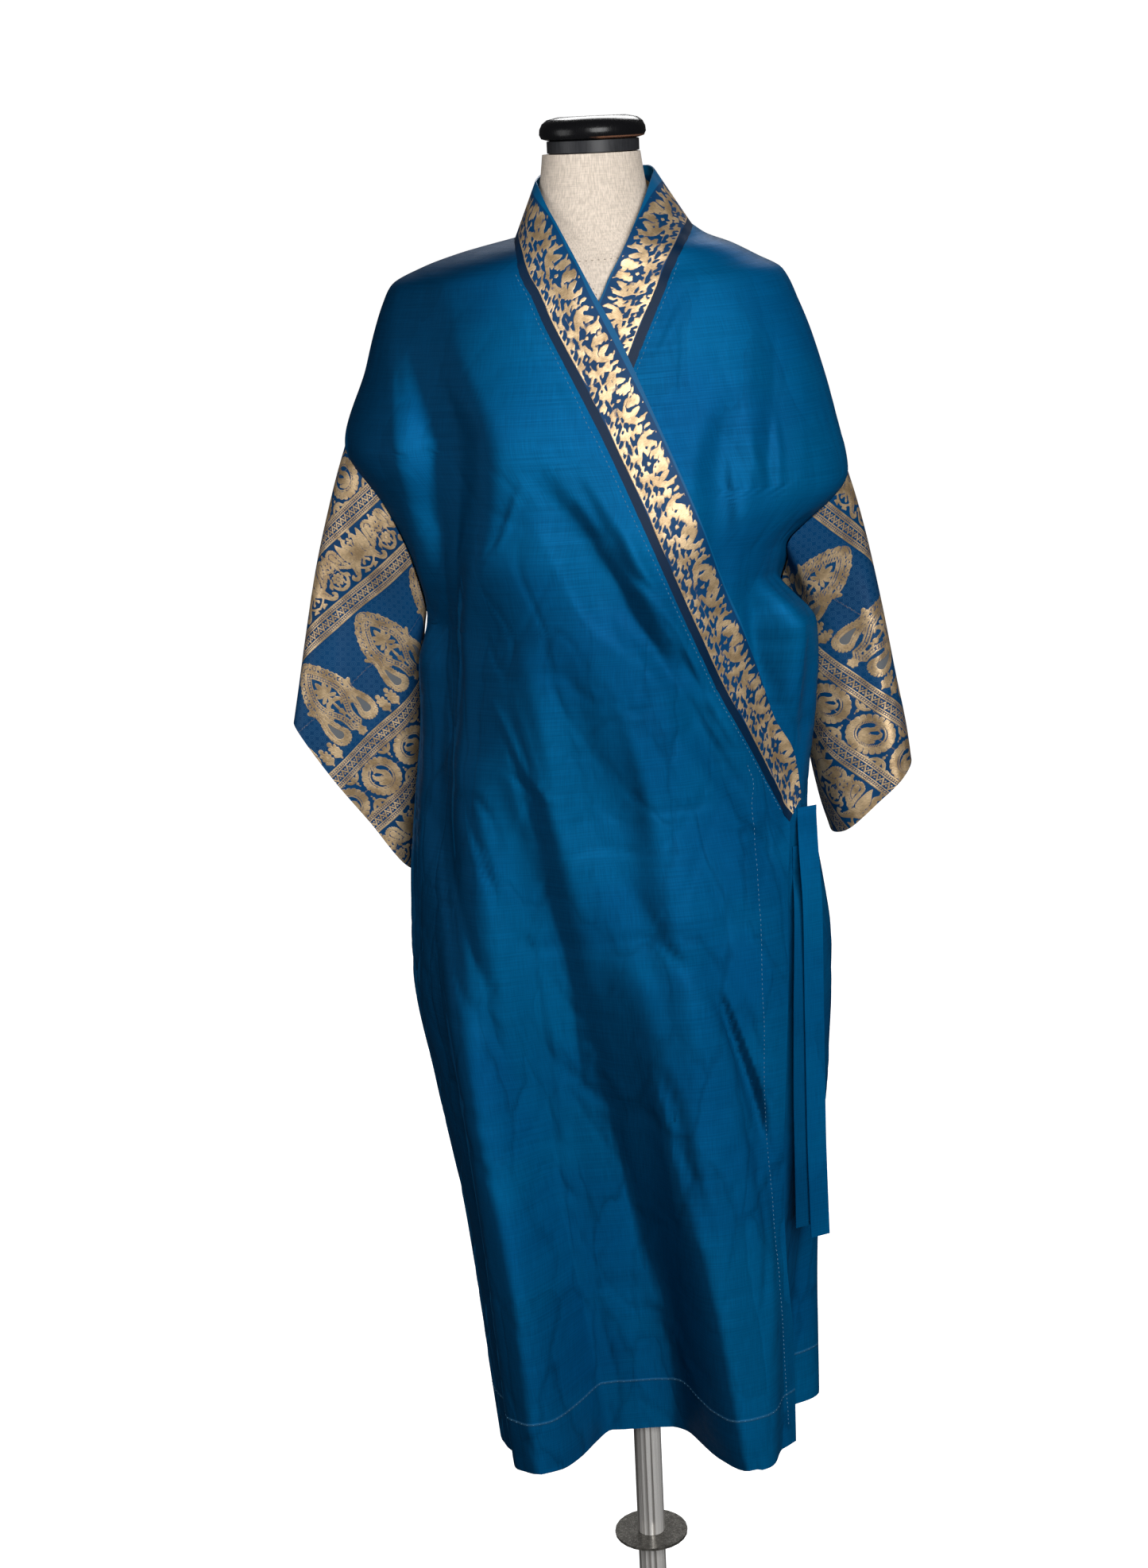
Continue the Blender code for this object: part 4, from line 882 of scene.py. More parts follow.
def sleeve_grid(side, table):
    """Tube that leaves the sleeve seam exactly and eases into the hanging form."""
    seam, outward = armhole_ring(side, SLEEVE_COLUMNS)
    low, high = seam[SLEEVE_COLUMNS // 2, 2], seam[0, 2]
    standoff = ARMPIT_STANDOFF * smoothstep(*STANDOFF_FADE, (seam[:, 2] - low) / (high - low))
    seam = seam + outward * standoff[:, None]
    around = np.arange(SLEEVE_COLUMNS) / SLEEVE_COLUMNS
    first = sleeve_rows(side, table, around, 0.0)
    grid = []
    for part in np.linspace(0.0, 1.0, SLEEVE_ROWS):
        keep = 1.0 - smoothstep(0.0, SLEEVE_BLEND, part)
        grid.append(sleeve_rows(side, table, around, part) + (seam - first) * keep)
    points = np.array(grid)
    set_back(points, ("first",), 3.0 * SEAM_SETBACK)
    return points


def turned_over(points, fields):
    """The same grid and its fields, with the columns in the other order."""
    return points[:, ::-1], [(title, values[:, ::-1]) for title, values in fields]


def sleeve(name, side, table):
    points = sleeve_grid(side, table)
    fold = unit(points[-1, 0] - points[0, 0])
    steps = points - np.roll(points, 1, axis=1)
    steps[:, 0] = 0.0
    sideways = np.linalg.norm(steps - (steps @ fold)[..., None] * fold, axis=-1)
    across = np.cumsum(sideways, axis=1)
    across = np.where(across > across[:, -1:] * 0.5, across - across[:, -1:], across)
    along = (points - points[0, 0]) @ fold
    gold, grey, place = sleeve_ornament(side, across, along)
    fields = [("cloth", flat_field(across, along)), ("zari", gold), ("grey", grey), ("place", place)]
    points, fields = points[::-1], [(title, values[::-1]) for title, values in fields]
    if side > 0:
        points, fields = turned_over(points, fields)
    return shell(name, points, wrap=True, fields=fields, skip=3)


def band_line(table, seam_height, lift_at, rise):
    """Points across a neckband at one place on its seam, from the seam to the free edge."""
    seam_x, *standing = read_table(table, seam_height)
    start = half_ring_place(seam_x, seam_height)
    spots = np.array([start])
    seam = body_row(True, spots, seam_height, lift_at(spots, seam_height))[0]
    height = standing[2] - float(tilt_at(standing[2])) * standing[0]
    end = half_ring_place(standing[0], min(height, NECKLINE))
    stands = float(smoothstep(*BAND_STANDS, seam_height))
    line = [seam]
    for part in np.arange(1, BAND_COLUMNS + 1) / BAND_COLUMNS:
        upright = blend(seam, np.array(standing), part)
        at = min(blend(seam_height, height, part), NECKLINE)
        spots = np.array([blend(start, end, part)])
        lying = body_row(True, spots, at, lift_at(spots, at) + rise * part)[0]
        line.append(blend(lying, upright, stands))
    return line


def band_net(side, table, lift_at, rise):
    """Coarse net of a neckband, from the centre back round the side of the neck and down."""
    net = []
    for place in 0.5 + 0.5 * side * np.arange(COLLAR_COLUMNS) / COLLAR_COLUMNS:
        seam = body_row(False, place, NECKLINE)[0]
        free = np.array(read_table(COLLAR_BACK, place))
        net.append([blend(seam, free, part) for part in np.arange(BAND_COLUMNS + 1) / BAND_COLUMNS])
    for height in (*COLLAR_ROWS, *np.linspace(BAND_TOP, BAND_FOOT, BAND_ROWS)):
        net.append(band_line(table, height, lift_at, rise))
    net = np.array(net)
    back = np.where(net[:, 0, 2] > COLLAR_FOOT, COLLAR_SETBACK, 2.0 * SEAM_SETBACK)
    net[:, 0] += unit(net[:, 1] - net[:, 0]) * back[:, None]
    set_back(net, ("first",), SEAM_SETBACK)
    return net


def lengths(points, axis=0):
    """Running length along a line of points, or along one axis of a grid."""
    moves = np.linalg.norm(np.diff(points, axis=axis), axis=-1)
    start = np.zeros_like(np.take(moves, [0], axis=axis))
    return np.concatenate([start, np.cumsum(moves, axis=axis)], axis=axis)


def resample(values, count):
    """Rows of a grid read again, evenly spaced along its middle, on smooth curves."""
    length = lengths(values[:, values.shape[1] // 2])
    at = np.interp(np.linspace(0.0, length[-1], count), length, np.arange(len(values)))
    index = np.clip(at.astype(int), 0, len(values) - 2)
    part = (at - index)[:, None, None]
    last = len(values) - 1
    one, two = values[index], values[index + 1]
    zero = np.where((index > 0)[:, None, None], values[np.maximum(index - 1, 0)], 2 * one - two)
    beyond = values[np.minimum(index + 2, last)]
    three = np.where((index + 2 <= last)[:, None, None], beyond, 2 * two - one)
    return hermite(one, two, 0.5 * (two - zero), 0.5 * (three - one), part)


def band_grid(side, table, lift_at, rise):
    net = band_net(side, table, lift_at, rise)
    sizes = (lengths(net[:, BAND_COLUMNS // 2])[-1], BAND_WIDTH)
    rows, columns = (3 * int(size / ORNAMENT_STEP / 3.0) + 1 for size in sizes)
    return resample(resample(net, rows).transpose(1, 0, 2), columns).transpose(1, 0, 2)


def neckband(name, side, table, lift_at, rise):
    points = band_grid(side, table, lift_at, rise)
    across = lengths(points, 1)
    along = np.repeat(lengths(points, 0).mean(axis=1)[:, None], points.shape[1], axis=1)
    fields = [("cloth", flat_field(across, along)), ("zari", band_ornament(across, along))]
    if side > 0:
        points, fields = turned_over(points, fields)
    return shell(name, points, fields=fields, skip=3)


def tie(name, table, clearance, shade):
    """Flat strap; at each height it keeps clear of the under front behind it."""
    rows = []
    run = unit(np.array([1.0, TIE_TURN, 0.0])) * TIE_WIDTH
    behind = np.linspace(*TIE_BEHIND)
    for height in np.linspace(table[0][0], table[-1][0], TIE_ROWS):
        x, depth = read_table(table, height)
        touch = body_row(True, behind, height, under_lift(behind, height) + clearance)
        over = touch[(touch[:, 0] >= x) & (touch[:, 0] <= x + run[0])]
        if len(over):
            depth = min(depth, float((over[:, 1] - (over[:, 0] - x) * TIE_TURN).min()))
        rows.append(np.array([x, depth, height]) + run * np.linspace(0.0, 1.0, TIE_COLUMNS)[:, None])
    points = np.array(rows)
    fields = [("cloth", flat_field(lengths(points, 1), lengths(points, 0) + TIE_PLACE))]
    return shell(name, points, fields=fields, shade=shade)


def rings_mesh(name, rings, sharp):
    """Closed solid through rings of points, bottom ring first, with flat ends."""
    ids = grid_ids(len(rings), len(rings[0]))
    ends = [ids[0][::-1].tolist(), ids[-1].tolist()]
    return add_mesh(name, rings, grid_faces(ids, wrap=True) + ends, sharp)


def round_rings(profile):
    """A ring of points round the pole's axis for each radius and height of a profile."""
    angles = np.linspace(0.0, 2.0 * np.pi, ROUND_SIDES, endpoint=False)
    circle = np.stack([np.cos(angles), np.sin(angles), np.zeros(ROUND_SIDES)], axis=-1)
    return [radius * circle + (0.0, 0.0, height) for radius, height in profile]


def turned(name, profile):
    return rings_mesh(name, round_rings(profile), ROUND_SHARP)


def form_ring(height, sides):
    """Ring of the dress form; at the shoulders it keeps just inside the cloth."""
    half_width, fore, aft, squareness = read_table(FORM_SECTIONS, height)
    left, right = -half_width, half_width
    if EASE_FROM < height <= NECKLINE:
        cloth = read_table(BODY_SECTIONS, height)
        left = max(left, cloth[0] + SHOULDER_EASE)
        right = min(right, cloth[1] - SHOULDER_EASE)
    shift = FORM_NECK_SHIFT * float(smoothstep(*NECK_SHIFT_HEIGHTS, height))
    power = 2.0 / squareness
    angles = np.linspace(0.0, 2.0 * np.pi, sides, endpoint=False)
    cosine, sine = np.cos(angles), np.sin(angles)
    end = np.where(sine < 0.0, -fore, aft)
    x = 0.5 * (left + right) + 0.5 * (right - left) * rounded(cosine, power)
    tilt = tilt_at(height) * (1.0 - smoothstep(NECKLINE, NECKLINE + NECK_UPRIGHT, height))
    return np.stack([x + shift, end * rounded(sine, power), height + tilt * x], axis=-1)


def form_body(name):
    heights = np.concatenate([np.linspace(*rows) for rows in FORM_ROWS])
    return rings_mesh(name, [form_ring(height, FORM_SIDES) for height in heights], FORM_SHARP)


IMAGE_HEIGHT = 1973
FOCAL_PIXELS = 3117.8
SENSOR_HEIGHT = 24.0
CAMERA_PLACE = (-0.0477, -2.483, 1.750)
CAMERA_PITCH = 0.26748
CAMERA_ROLL = -0.04731


def camera():
    data = bpy.data.cameras.new("camera")
    data.sensor_fit = "VERTICAL"
    data.sensor_height = SENSOR_HEIGHT
    data.lens = FOCAL_PIXELS / IMAGE_HEIGHT * SENSOR_HEIGHT
    thing = add_object("camera", data)
    right = Vector((1.0, 0.0, 0.0))
    forward = Vector((0.0, math.cos(CAMERA_PITCH), -math.sin(CAMERA_PITCH)))
    up = right.cross(forward)
    turned_right = right * math.cos(CAMERA_ROLL) + up * math.sin(CAMERA_ROLL)
    turned_up = up * math.cos(CAMERA_ROLL) - right * math.sin(CAMERA_ROLL)
    turn = Matrix((turned_right, turned_up, -forward)).transposed()
    thing.matrix_world = Matrix.Translation(CAMERA_PLACE) @ turn.to_4x4()
    bpy.context.scene.camera = thing


# Woven ornament, charted in millimetres. A stroke is its points with a radius at each,
# (x, y, radius). Each motif is alike on both sides of x = 0, so one side is charted.
PAIR_WIDTH = 91.0
PAIR_HEIGHT = 57.0
# A flower is its number of petals, how far out they stand and their radius; a ruffle is its middle,
# its number of folds and its depth
PAIR_FLOWER = (8, 5.4, 1.9)
PAIR_FLOWER_HEIGHT = 19.0
PAIR_FLOWER_CLEAR = 8.4
FEATHER_RUFFLE = (13.0, 38.0, 30, 3.4)
FEATHER_GAP = 0.9
FEATHER = ((12, 43.5, 8.6), (13.8, 36, 7.6), (17.5, 29, 4.8), (22, 22, 2.2))
FEATHER_CORE = ((12, 44, 4.4), (13.8, 37, 3.4), (17, 31, 1.2))
WING = ((26, 53, 0.4), (26.6, 47, 2.8), (28.6, 40, 5.2), (30, 34, 6.4), (29.6, 29.5, 5.0))
BIRD = (
    ((38.2, 49.5, 2.8), (35.8, 45.5, 2.6), (38, 40, 3.9), (40, 32, 5.4), (37, 25, 6.8), (31, 20, 6.2),
     (28, 14, 4.4)),
    ((39, 49.8, 1.8), (42.2, 48.6, 0.6)),
    ((37.6, 52, 0.7), (36, 55.6, 1.1)),
    ((38.4, 52, 0.7), (39.4, 56, 1.1)),
    ((29, 18, 4.6), (26.5, 11.5, 3.8), (23, 6, 3.0), (18.4, 4.4, 2.6), (15.4, 7.6, 2.0), (17.8, 10.4, 1.4)),
    ((31, 15, 1.1), (37, 9.5, 1.2), (45.5, 6, 1.3)),
    ((34, 5, 0.9), (38, 5.6, 2.0), (41, 3, 0.7)),
    ((41, 14, 2.0), (44, 18, 0.8)),
    ((45.5, 18, 1.6), (45.5, 24, 2.4), (45.5, 28, 0.7)),
    ((45.5, 30, 0.8), (45.5, 44, 0.9)),
    ((45.5, 41, 0.9), (42.8, 44.6, 1.5)),
    ((45.5, 48, 1.9),),
    ((45.5, 34, 0.8), (43.2, 36.4, 1.3)),
)
PALMETTE = (
    ((0, 29, 1.2), (0, 49, 1.1)),
    ((0, 30, 0.9), (4.6, 33, 1.9), (5.2, 38, 0.7)),
    ((0, 36, 0.9), (3.6, 39.6, 1.7), (3.6, 44, 0.6)),
    ((0, 42, 0.9), (2.6, 46.6, 1.4), (2.2, 50, 0.6)),
    ((0, 52.5, 1.8),),
    ((0, 5.5, 2.4), (5, 6.4, 1.9), (9, 10.6, 1.7), (11.4, 17, 1.5), (8.8, 23, 1.3)),
    ((11, 20, 1.0), (14.4, 17.4, 1.9), (15, 13.6, 0.8)),
    ((6, 9.4, 0.8), (4.4, 11.2, 1.2)),
    ((9, 26, 0.9), (7.6, 29.5, 1.4)),
)
BIRD_CUTS = (
    ((38.2, 50.2, 0.6),),
    ((35.4, 22, 0.5), (38, 27, 0.6), (37.8, 33, 0.5)),
    ((27.5, 17, 0.5), (24.6, 10.6, 0.6), (20.5, 7.2, 0.5)),
)

MEDALLION_WIDTH = 48.0
MEDALLION_MIDDLE = 22.5
MEDALLION_RADIUS = 20.6
MEDALLION_RUFFLE = (0.0, 0.0, 22, 6.4)
MEDALLION_RING = (11.9, 13.2)
MEDALLION_INSIDE = 11.0
MEDALLION_OUTSIDE = 22.0
MEDALLION_BIRD = (
    ((7, -5, 1.2), (2, -8, 2.6), (-4, -6, 3.8), (-5.6, 0, 3.2), (-2.4, 4.4, 2.0), (0, 7.5, 2.3)),
    ((1, 7.8, 1.3), (4.8, 7, 0.5)),
    ((-1, -3, 1.6), (3.4, -1.4, 2.8), (7, 2.6, 2.0), (6.4, 6.5, 0.9)),
    ((3.4, 10.6, 0.9), (-2, 11, 1.0)),
)
MEDALLION_FILL = (
    ((24, 20, 2.6),),
    ((24, 15.6, 1.3), (20, 17.2, 1.7), (16, 21.6, 1.2)),
    ((24, 12, 1.5),),
    ((24, 8.4, 0.9),),
    ((8, 22.4, 1.0), (13, 21.4, 1.3)),
)

KITE_WIDTH = 85.0
KITE_FOOT = 64.0
CURL_SPACING = 8.2
BEAD_PITCH = 2.9
KITE_INSIDE = 6.2
KITE_FLOWER = (7, 3.4, 1.5)
KITE_FLOWER_DOWN = 93.0
DROP_RUFFLE = (21.5, 74.0, 34, 2.9)
DROP_GAP = 1.2
SPRIG_PLACE = 36.5
KITE_FRAME = (
    (0, 12), (4, 15.6), (8.4, 21), (13.4, 30), (16.6, 38), (17.4, 45), (15.6, 54), (11.4, 62), (7.6, 70),
    (6.8, 78), (7.4, 84), (0, 90),
)
KITE_FILL = (
    ((0, 38, 1.0), (0, 31, 2.7), (0, 26.6, 1.2)),
    ((1.6, 38.4, 0.9), (5, 33.4, 2.3), (6.6, 30.6, 1.2)),
    ((1.8, 40, 0.9), (6.6, 38.4, 2.2), (9.6, 37, 1.1)),
    ((1.4, 42, 0.9), (6, 44.4, 2.0), (8.8, 45.4, 0.9)),
    ((0, 40.2, 1.7),),
    ((0, 44, 0.9), (2, 49, 1.7), (6, 50, 2.2), (8.6, 53.4, 1.5), (6.2, 56.4, 1.1)),
    ((0, 51, 0.9), (0, 58, 1.5)),
    ((0, 62.5, 2.7),),
    ((0, 66, 0.9), (2.6, 69, 1.3), (1.6, 73, 0.8)),
    ((0, 77, 1.5),),
    ((0, 82, 1.2), (2.4, 85, 1.1)),
)
DROP = (
    (28.6, 44, 1.4), (25.6, 45.4, 2.6), (22.4, 50, 3.8), (21.4, 57, 4.8), (22, 66, 7.0), (21.8, 75, 9.0),
    (20, 82, 9.6),
)
DROP_CORE = ((21.4, 64, 0.9), (21.6, 71, 2.6), (20.6, 79, 4.4))
SPRIG = (
    ((0, 98, 0.8), (0, 80, 1.0)),
    ((0, 96, 0.9), (3.8, 92, 1.7)),
    ((0, 91.5, 0.9), (3.8, 87.5, 1.7)),
    ((0, 87, 0.9), (3.4, 83, 1.6)),
    ((0, 79, 2.5),),
)

# Rows of the sleeve cloth across their slope, by kind and depth, with each sleeve's start in them and
# place along them, and how both grow with the way round the sleeve and down it
ROWS = (
    ("birds", 50.0), ("stripe", 20.0), ("ground", 100.0), ("stripe", 20.0), ("medallions", 52.0),
    ("stripe", 19.0), ("birds", 46.0), ("stripe", 20.0), ("ground", 100.0), ("stripe", 20.0),
    ("medallions", 44.0), ("stripe", 18.0), ("birds", 50.0), ("stripe", 20.0), ("ground", 100.0),
)
ROWS_START = {-1: -183.3, 1: -254.9}
ROWS_PLACE = {-1: -10.7, 1: -32.2}
ROWS_ACROSS = {-1: (0.732, 0.603), 1: (0.680, 0.621)}
ROWS_ALONG = {-1: (-0.565, 0.807), 1: (-0.536, 0.789)}
# Figures are worked out a little past their row and end just inside it; then what a point far from
# every figure has, and one far from every stripe
ROW_MARGIN = 4.0
ROW_EDGE = 0.6
OUTSIDE = -9.0
FAR_OFF = 99.0


def inside_stroke(x, y, path):
    """How far inside a stroke each point is, negative outside."""
    first_x, first_y, radius = path[0]
    best = radius - np.hypot(x - first_x, y - first_y)
    for start, end in zip(path, path[1:]):
        part, away, _ = to_segment(x, y, start, end)
        best = np.maximum(best, blend(start[2], end[2], part) - away)
    return best


def inside_strokes(x, y, strokes):
    smooth = [smooth_line(path, 3) if len(path) > 2 else path for path in strokes]
    return np.max([inside_stroke(x, y, path) for path in smooth], axis=0)


def inside_flower(x, y, petals, reach, size):
    """Rosette of round petals round a small middle."""
    turn = 2.0 * np.pi / petals
    angle = np.arctan2(y, x)
    angle = angle - turn * np.round(angle / turn)
    away = np.hypot(x, y)
    petal = size - np.hypot((away * np.cos(angle) - reach) * 0.72, away * np.sin(angle))
    return np.maximum(petal, reach * 0.36 - away)


def repeated(value, period):
    """Place inside a repeat, zero at its middle."""
    return (value + 0.5 * period) % period - 0.5 * period


def laid_over(gold, outline, gap, figure):
    """The gold so far, cut back by a gap round an outline, and a figure inside that."""
    return np.maximum(np.minimum(gold, -outline - gap), figure)


def ruffle(inside, x, y, middle_x, middle_y, count, deep):
    """Rim of rounded folds round a middle, cut apart by short slits."""
    angle = np.arctan2(y - middle_y, x - middle_x)
    slits = np.abs(repeated(angle, 2.0 * np.pi / count)) * count
    folds = inside + 0.9 * np.cos(0.5 * slits)
    rim = np.minimum(folds, deep - inside)
    return np.minimum(rim, np.maximum((np.pi - slits) * 1.3 - 0.55, inside - deep * 0.66))


def beside(x, y, path):
    """Distance to the outer side of a path, negative on its inner side, and the run along it."""
    away, along = nearest_on_line(x, y, path)
    return away, np.interp(along, np.arange(len(path)), lengths(np.array(path)))


def birds(a, y):
    """Pairs of birds back to back, with a flower and a palmette between; y up from the lower edge."""
    x = np.abs(repeated(a, PAIR_WIDTH))
    gold = inside_strokes(x, y, BIRD)
    gold = np.minimum(gold, -inside_strokes(x, y, BIRD_CUTS))
    gold = np.maximum(gold, inside_strokes(x, y, PALMETTE))
    up = y - PAIR_FLOWER_HEIGHT
    clear = PAIR_FLOWER_CLEAR - np.hypot(x, up)
    gold = laid_over(gold, clear, 0.0, inside_flower(x, up, *PAIR_FLOWER))
    wing = inside_strokes(x, y, (WING,))
    feather = inside_strokes(x, y, (FEATHER,))
    core = inside_strokes(x, y, (FEATHER_CORE,))
    rim = ruffle(feather, x, y, *FEATHER_RUFFLE)
    vane = np.maximum(rim, np.maximum(np.minimum(feather - 4.0, -core), core - 1.0))
    return laid_over(laid_over(gold, wing, FEATHER_GAP, wing), feather, FEATHER_GAP, vane)


def medallions(a, y):
    """Ruffled rounds with a curled bird inside; y up from the row's lower edge."""
    x = repeated(a, MEDALLION_WIDTH)
    up = y - MEDALLION_MIDDLE
    away = np.hypot(x, up)
    rim = ruffle(MEDALLION_RADIUS - away, x, up, *MEDALLION_RUFFLE)
    ring = np.minimum(MEDALLION_RING[1] - away, away - MEDALLION_RING[0])
    bird = np.minimum(inside_strokes(x, up, MEDALLION_BIRD), MEDALLION_INSIDE - away)
    fill = inside_strokes(np.abs(x), np.abs(up), MEDALLION_FILL)
    return np.max([rim, ring, bird, np.minimum(fill, away - MEDALLION_OUTSIDE)], axis=0)


def kites(a, t):
    """Tall frames with a flower inside and two drops beside, and sprigs; t down from the row's top."""
    x = np.abs(repeated(a, KITE_WIDTH))
    outward, run = beside(x, t, KITE_FRAME)
    curl = np.hypot(repeated(run, CURL_SPACING), outward - 5.6)
    knob = repeated(run + 0.5 * CURL_SPACING, CURL_SPACING)
    rim = (
        np.minimum(3.7 - curl, np.abs(curl - 2.0) - 0.5),
        0.7 - np.abs(outward - 2.0),
        1.7 - np.hypot(knob, (outward - 7.6) * 0.7),
    )
    gold = np.max([
        np.minimum(np.max(rim, axis=0), KITE_FOOT - t),
        0.75 - np.abs(outward),
        1.1 - np.hypot(repeated(run, BEAD_PITCH), outward + 2.6),
        0.65 - np.abs(outward + 5.0),
        np.minimum(inside_strokes(x, t, KITE_FILL), -outward - KITE_INSIDE),
    ], axis=0)
    drop = inside_strokes(x, t, (DROP,))
    core = inside_strokes(x, t, (DROP_CORE,))
    inner = np.minimum(drop - 3.5, -core - 0.2)
    gold = laid_over(gold, drop, DROP_GAP, np.maximum(ruffle(drop, x, t, *DROP_RUFFLE), inner))
    flower = inside_flower(x, t - KITE_FLOWER_DOWN, *KITE_FLOWER)
    sprig = inside_strokes(np.abs(x - SPRIG_PLACE), t, SPRIG)
    return np.max([gold, flower, sprig], axis=0), core


def sleeve_ornament(side, across, along):
    """Gold and grey at each point of a sleeve, and its place along and across the rows, in mm."""
    flat = 1000.0 * np.stack([across, along], axis=-1)
    down_cloth = flat @ ROWS_ACROSS[side]
    along_cloth = flat @ ROWS_ALONG[side] + ROWS_PLACE[side]
    gold, grey, ground = np.full((3, *across.shape), OUTSIDE)
    stripe = np.full(across.shape, FAR_OFF)
    start = ROWS_START[side]
    for kind, depth in ROWS:
        down_row = down_cloth - start
        here = (down_row > -ROW_MARGIN) & (down_row < depth + ROW_MARGIN)
        along_row, down = along_cloth[here], down_row[here]
        inside = np.minimum(down, depth - down)
        start += depth
        if kind == "stripe":
            offset = down_row - 0.5 * depth
            stripe = np.where(np.abs(offset) < np.abs(stripe), offset, stripe)
            continue
        if kind == "birds":
            scale = PAIR_HEIGHT / depth
            value = birds(along_row * scale, (depth - down) * scale) / scale
        elif kind == "medallions":
            value = medallions(along_row, depth - down)
        else:
            value, core = kites(along_row, down)
            grey[here] = np.maximum(grey[here], core)
            ground[here] = np.maximum(ground[here], inside)
        gold[here] = np.maximum(gold[here], np.minimum(value, inside - ROW_EDGE))
    return gold, grey, np.stack([along_cloth, stripe, ground], axis=-1)


# Neckband, across from its seam: plain strip, border line, vine with flowers, birds, plain edge
BAND_PLAIN = 9.0
BAND_VINE = 16.6
BAND_BIRDS = 23.0
BAND_PERIOD = 66.0
BAND_GAP = 1.0
BAND_FLOWER = (6, 3.1, 1.4)
BAND_FLOWER_OUT = 12.4
VINE_FLOWER = (5, 2.3, 1.15)
VINE_PERIOD = 11.0
VINE_SWING = 3.4
BAND_BIRD = (
    ((8, 21, 2.2), (7.2, 17.4, 1.8), (9, 13, 2.7), (13, 9, 4.2), (18, 6.6, 3.2), (22, 3.2, 1.7),
     (27, 2.2, 1.3)),
    ((7, 21.4, 1.4), (4.2, 20.6, 0.6)),
    ((8.6, 23, 0.7), (9.6, 26, 1.2)),
    ((0, 7, 1.0), (0, 0.8, 1.0)),
    ((0.6, 2.4, 0.8), (4, 4.6, 1.4), (6.6, 3.6, 0.7)),
    ((0, 18.4, 0.8), (0, 23.4, 1.7)),
    ((33, 7.4, 1.9),),
    ((33, 2.2, 1.1),),
    ((13, 1.6, 1.2),),
    ((20.6, 27, 1.1),),
)
BAND_WING = ((14.4, 12.6, 2.4), (16.6, 17, 2.7), (18.6, 22.6, 0.8))
BAND_FEATHER = ((27, 20.4, 6.0), (25.6, 14, 4.6), (21.6, 8.4, 1.6))


def band_birds(a, y):
    """Pairs of birds that face a flower, each with a drop-shaped feather behind it."""
    x = np.abs(repeated(a, BAND_PERIOD))
    flower = inside_flower(x, y - BAND_FLOWER_OUT, *BAND_FLOWER)
    wing = inside_strokes(x, y, (BAND_WING,))
    gold = laid_over(np.maximum(inside_strokes(x, y, BAND_BIRD), flower), wing, BAND_GAP, wing)
    feather = inside_strokes(x, y, (BAND_FEATHER,))
    rim = np.minimum(feather, 1.7 - feather) + 0.3 * np.cos(26.0 * np.arctan2(y - 17.0, x - 26.0))
    vane = np.maximum(rim, feather - 2.7)
    return laid_over(gold, feather, BAND_GAP, vane)


def band_ornament(across, along):
    x, y = across * 1000.0, along * 1000.0
    gold = np.minimum(band_birds(y, x - BAND_BIRDS), x - BAND_BIRDS + 0.4)
    away = x - BAND_VINE
    turn = np.where(((y + 0.5 * VINE_PERIOD) // VINE_PERIOD) % 2 < 0.5, -1.0, 1.0)
    place = repeated(y, VINE_PERIOD)
    stem = VINE_SWING * np.sin(y * np.pi / VINE_PERIOD + 0.5 * np.pi)
    vine = 0.75 - np.abs(away - stem) * 0.76
    vine = np.maximum(vine, inside_flower(place, away + turn * 2.2, *VINE_FLOWER))
    vine = np.maximum(vine, 1.1 - np.hypot(np.abs(place) - 4.0, away - turn * 4.6))
    gold = np.maximum(gold, np.minimum(vine, np.minimum(BAND_BIRDS - 1.4 - x, x - BAND_PLAIN - 2.0)))
    gold = np.maximum(gold, 0.75 - np.abs(x - BAND_PLAIN - 0.8))
    return np.maximum(gold, 0.65 - np.abs(x - BAND_BIRDS + 0.4))


STITCH_WIDTH = 0.0009
# Distance from one stitch to the next, and a stitch's length
HEM_STITCH = (0.0070, 0.0016)
TOP_STITCH = (0.0052, 0.0032)
FORM_STITCH = (0.0060, 0.0030)
FACING_LINE = (
    # height, x of the stitched edge of the facing
    (0.359, 0.1505), (0.440, 0.147), (0.508, 0.144), (0.570, 0.142), (0.629, 0.140), (0.6885, 0.1375),
    (0.755, 0.1355), (0.8285, 0.1346), (0.8775, 0.133), (0.941, 0.1335), (1.004, 0.132), (1.047, 0.1315),
    (1.086, 0.132), (1.110, 0.125),
)
HEM_DEPTH = 0.064
HEM_END = 0.006
TOPSTITCH_SETBACK = 0.0035
TOPSTITCH_TOP = 1.600
RIGHT_TOPSTITCH_FOOT = 1.050
LEFT_TOPSTITCH_FOOT = 1.380
# Points along a hem or a facing, and along a seam; points round the form; distance that a normal
# is measured over
LONG_COUNT = 90
SEAM_COUNT = 120
FORM_ANGLES = 720
NORMAL_STEP = 0.002


def on_cloth(front, places, heights, lift_at, edges_at):
    """Points just over the creased cloth at given places and heights, and the normals there."""
    points, normals = [], []
    for place, height in zip(places, heights):
        above = height + NORMAL_STEP
        spots = place + NORMAL_STEP * np.array([-1.0, 0.0, 1.0])
        line = body_row(front, spots, height, lift_at(spots, height))
        over = body_row(front, spots[1:2], above, lift_at(spots[1:2], above))[0]
        normal = np.cross(line[2] - line[0], over - line[1])
        points.append(line[1])
        normals.append(normal if front else -normal)
    normals = unit(np.array(normals))
    depth = crease_field(front, np.array(places)[:, None], np.array(heights)[:, None], edges_at)
    return np.array(points) + normals * (depth + 0.5 * CLOTH + 0.4 * STITCH_WIDTH), normals


def at_run(values, run, spot):
    return np.array([np.interp(spot, run, values[:, axis]) for axis in range(3)])


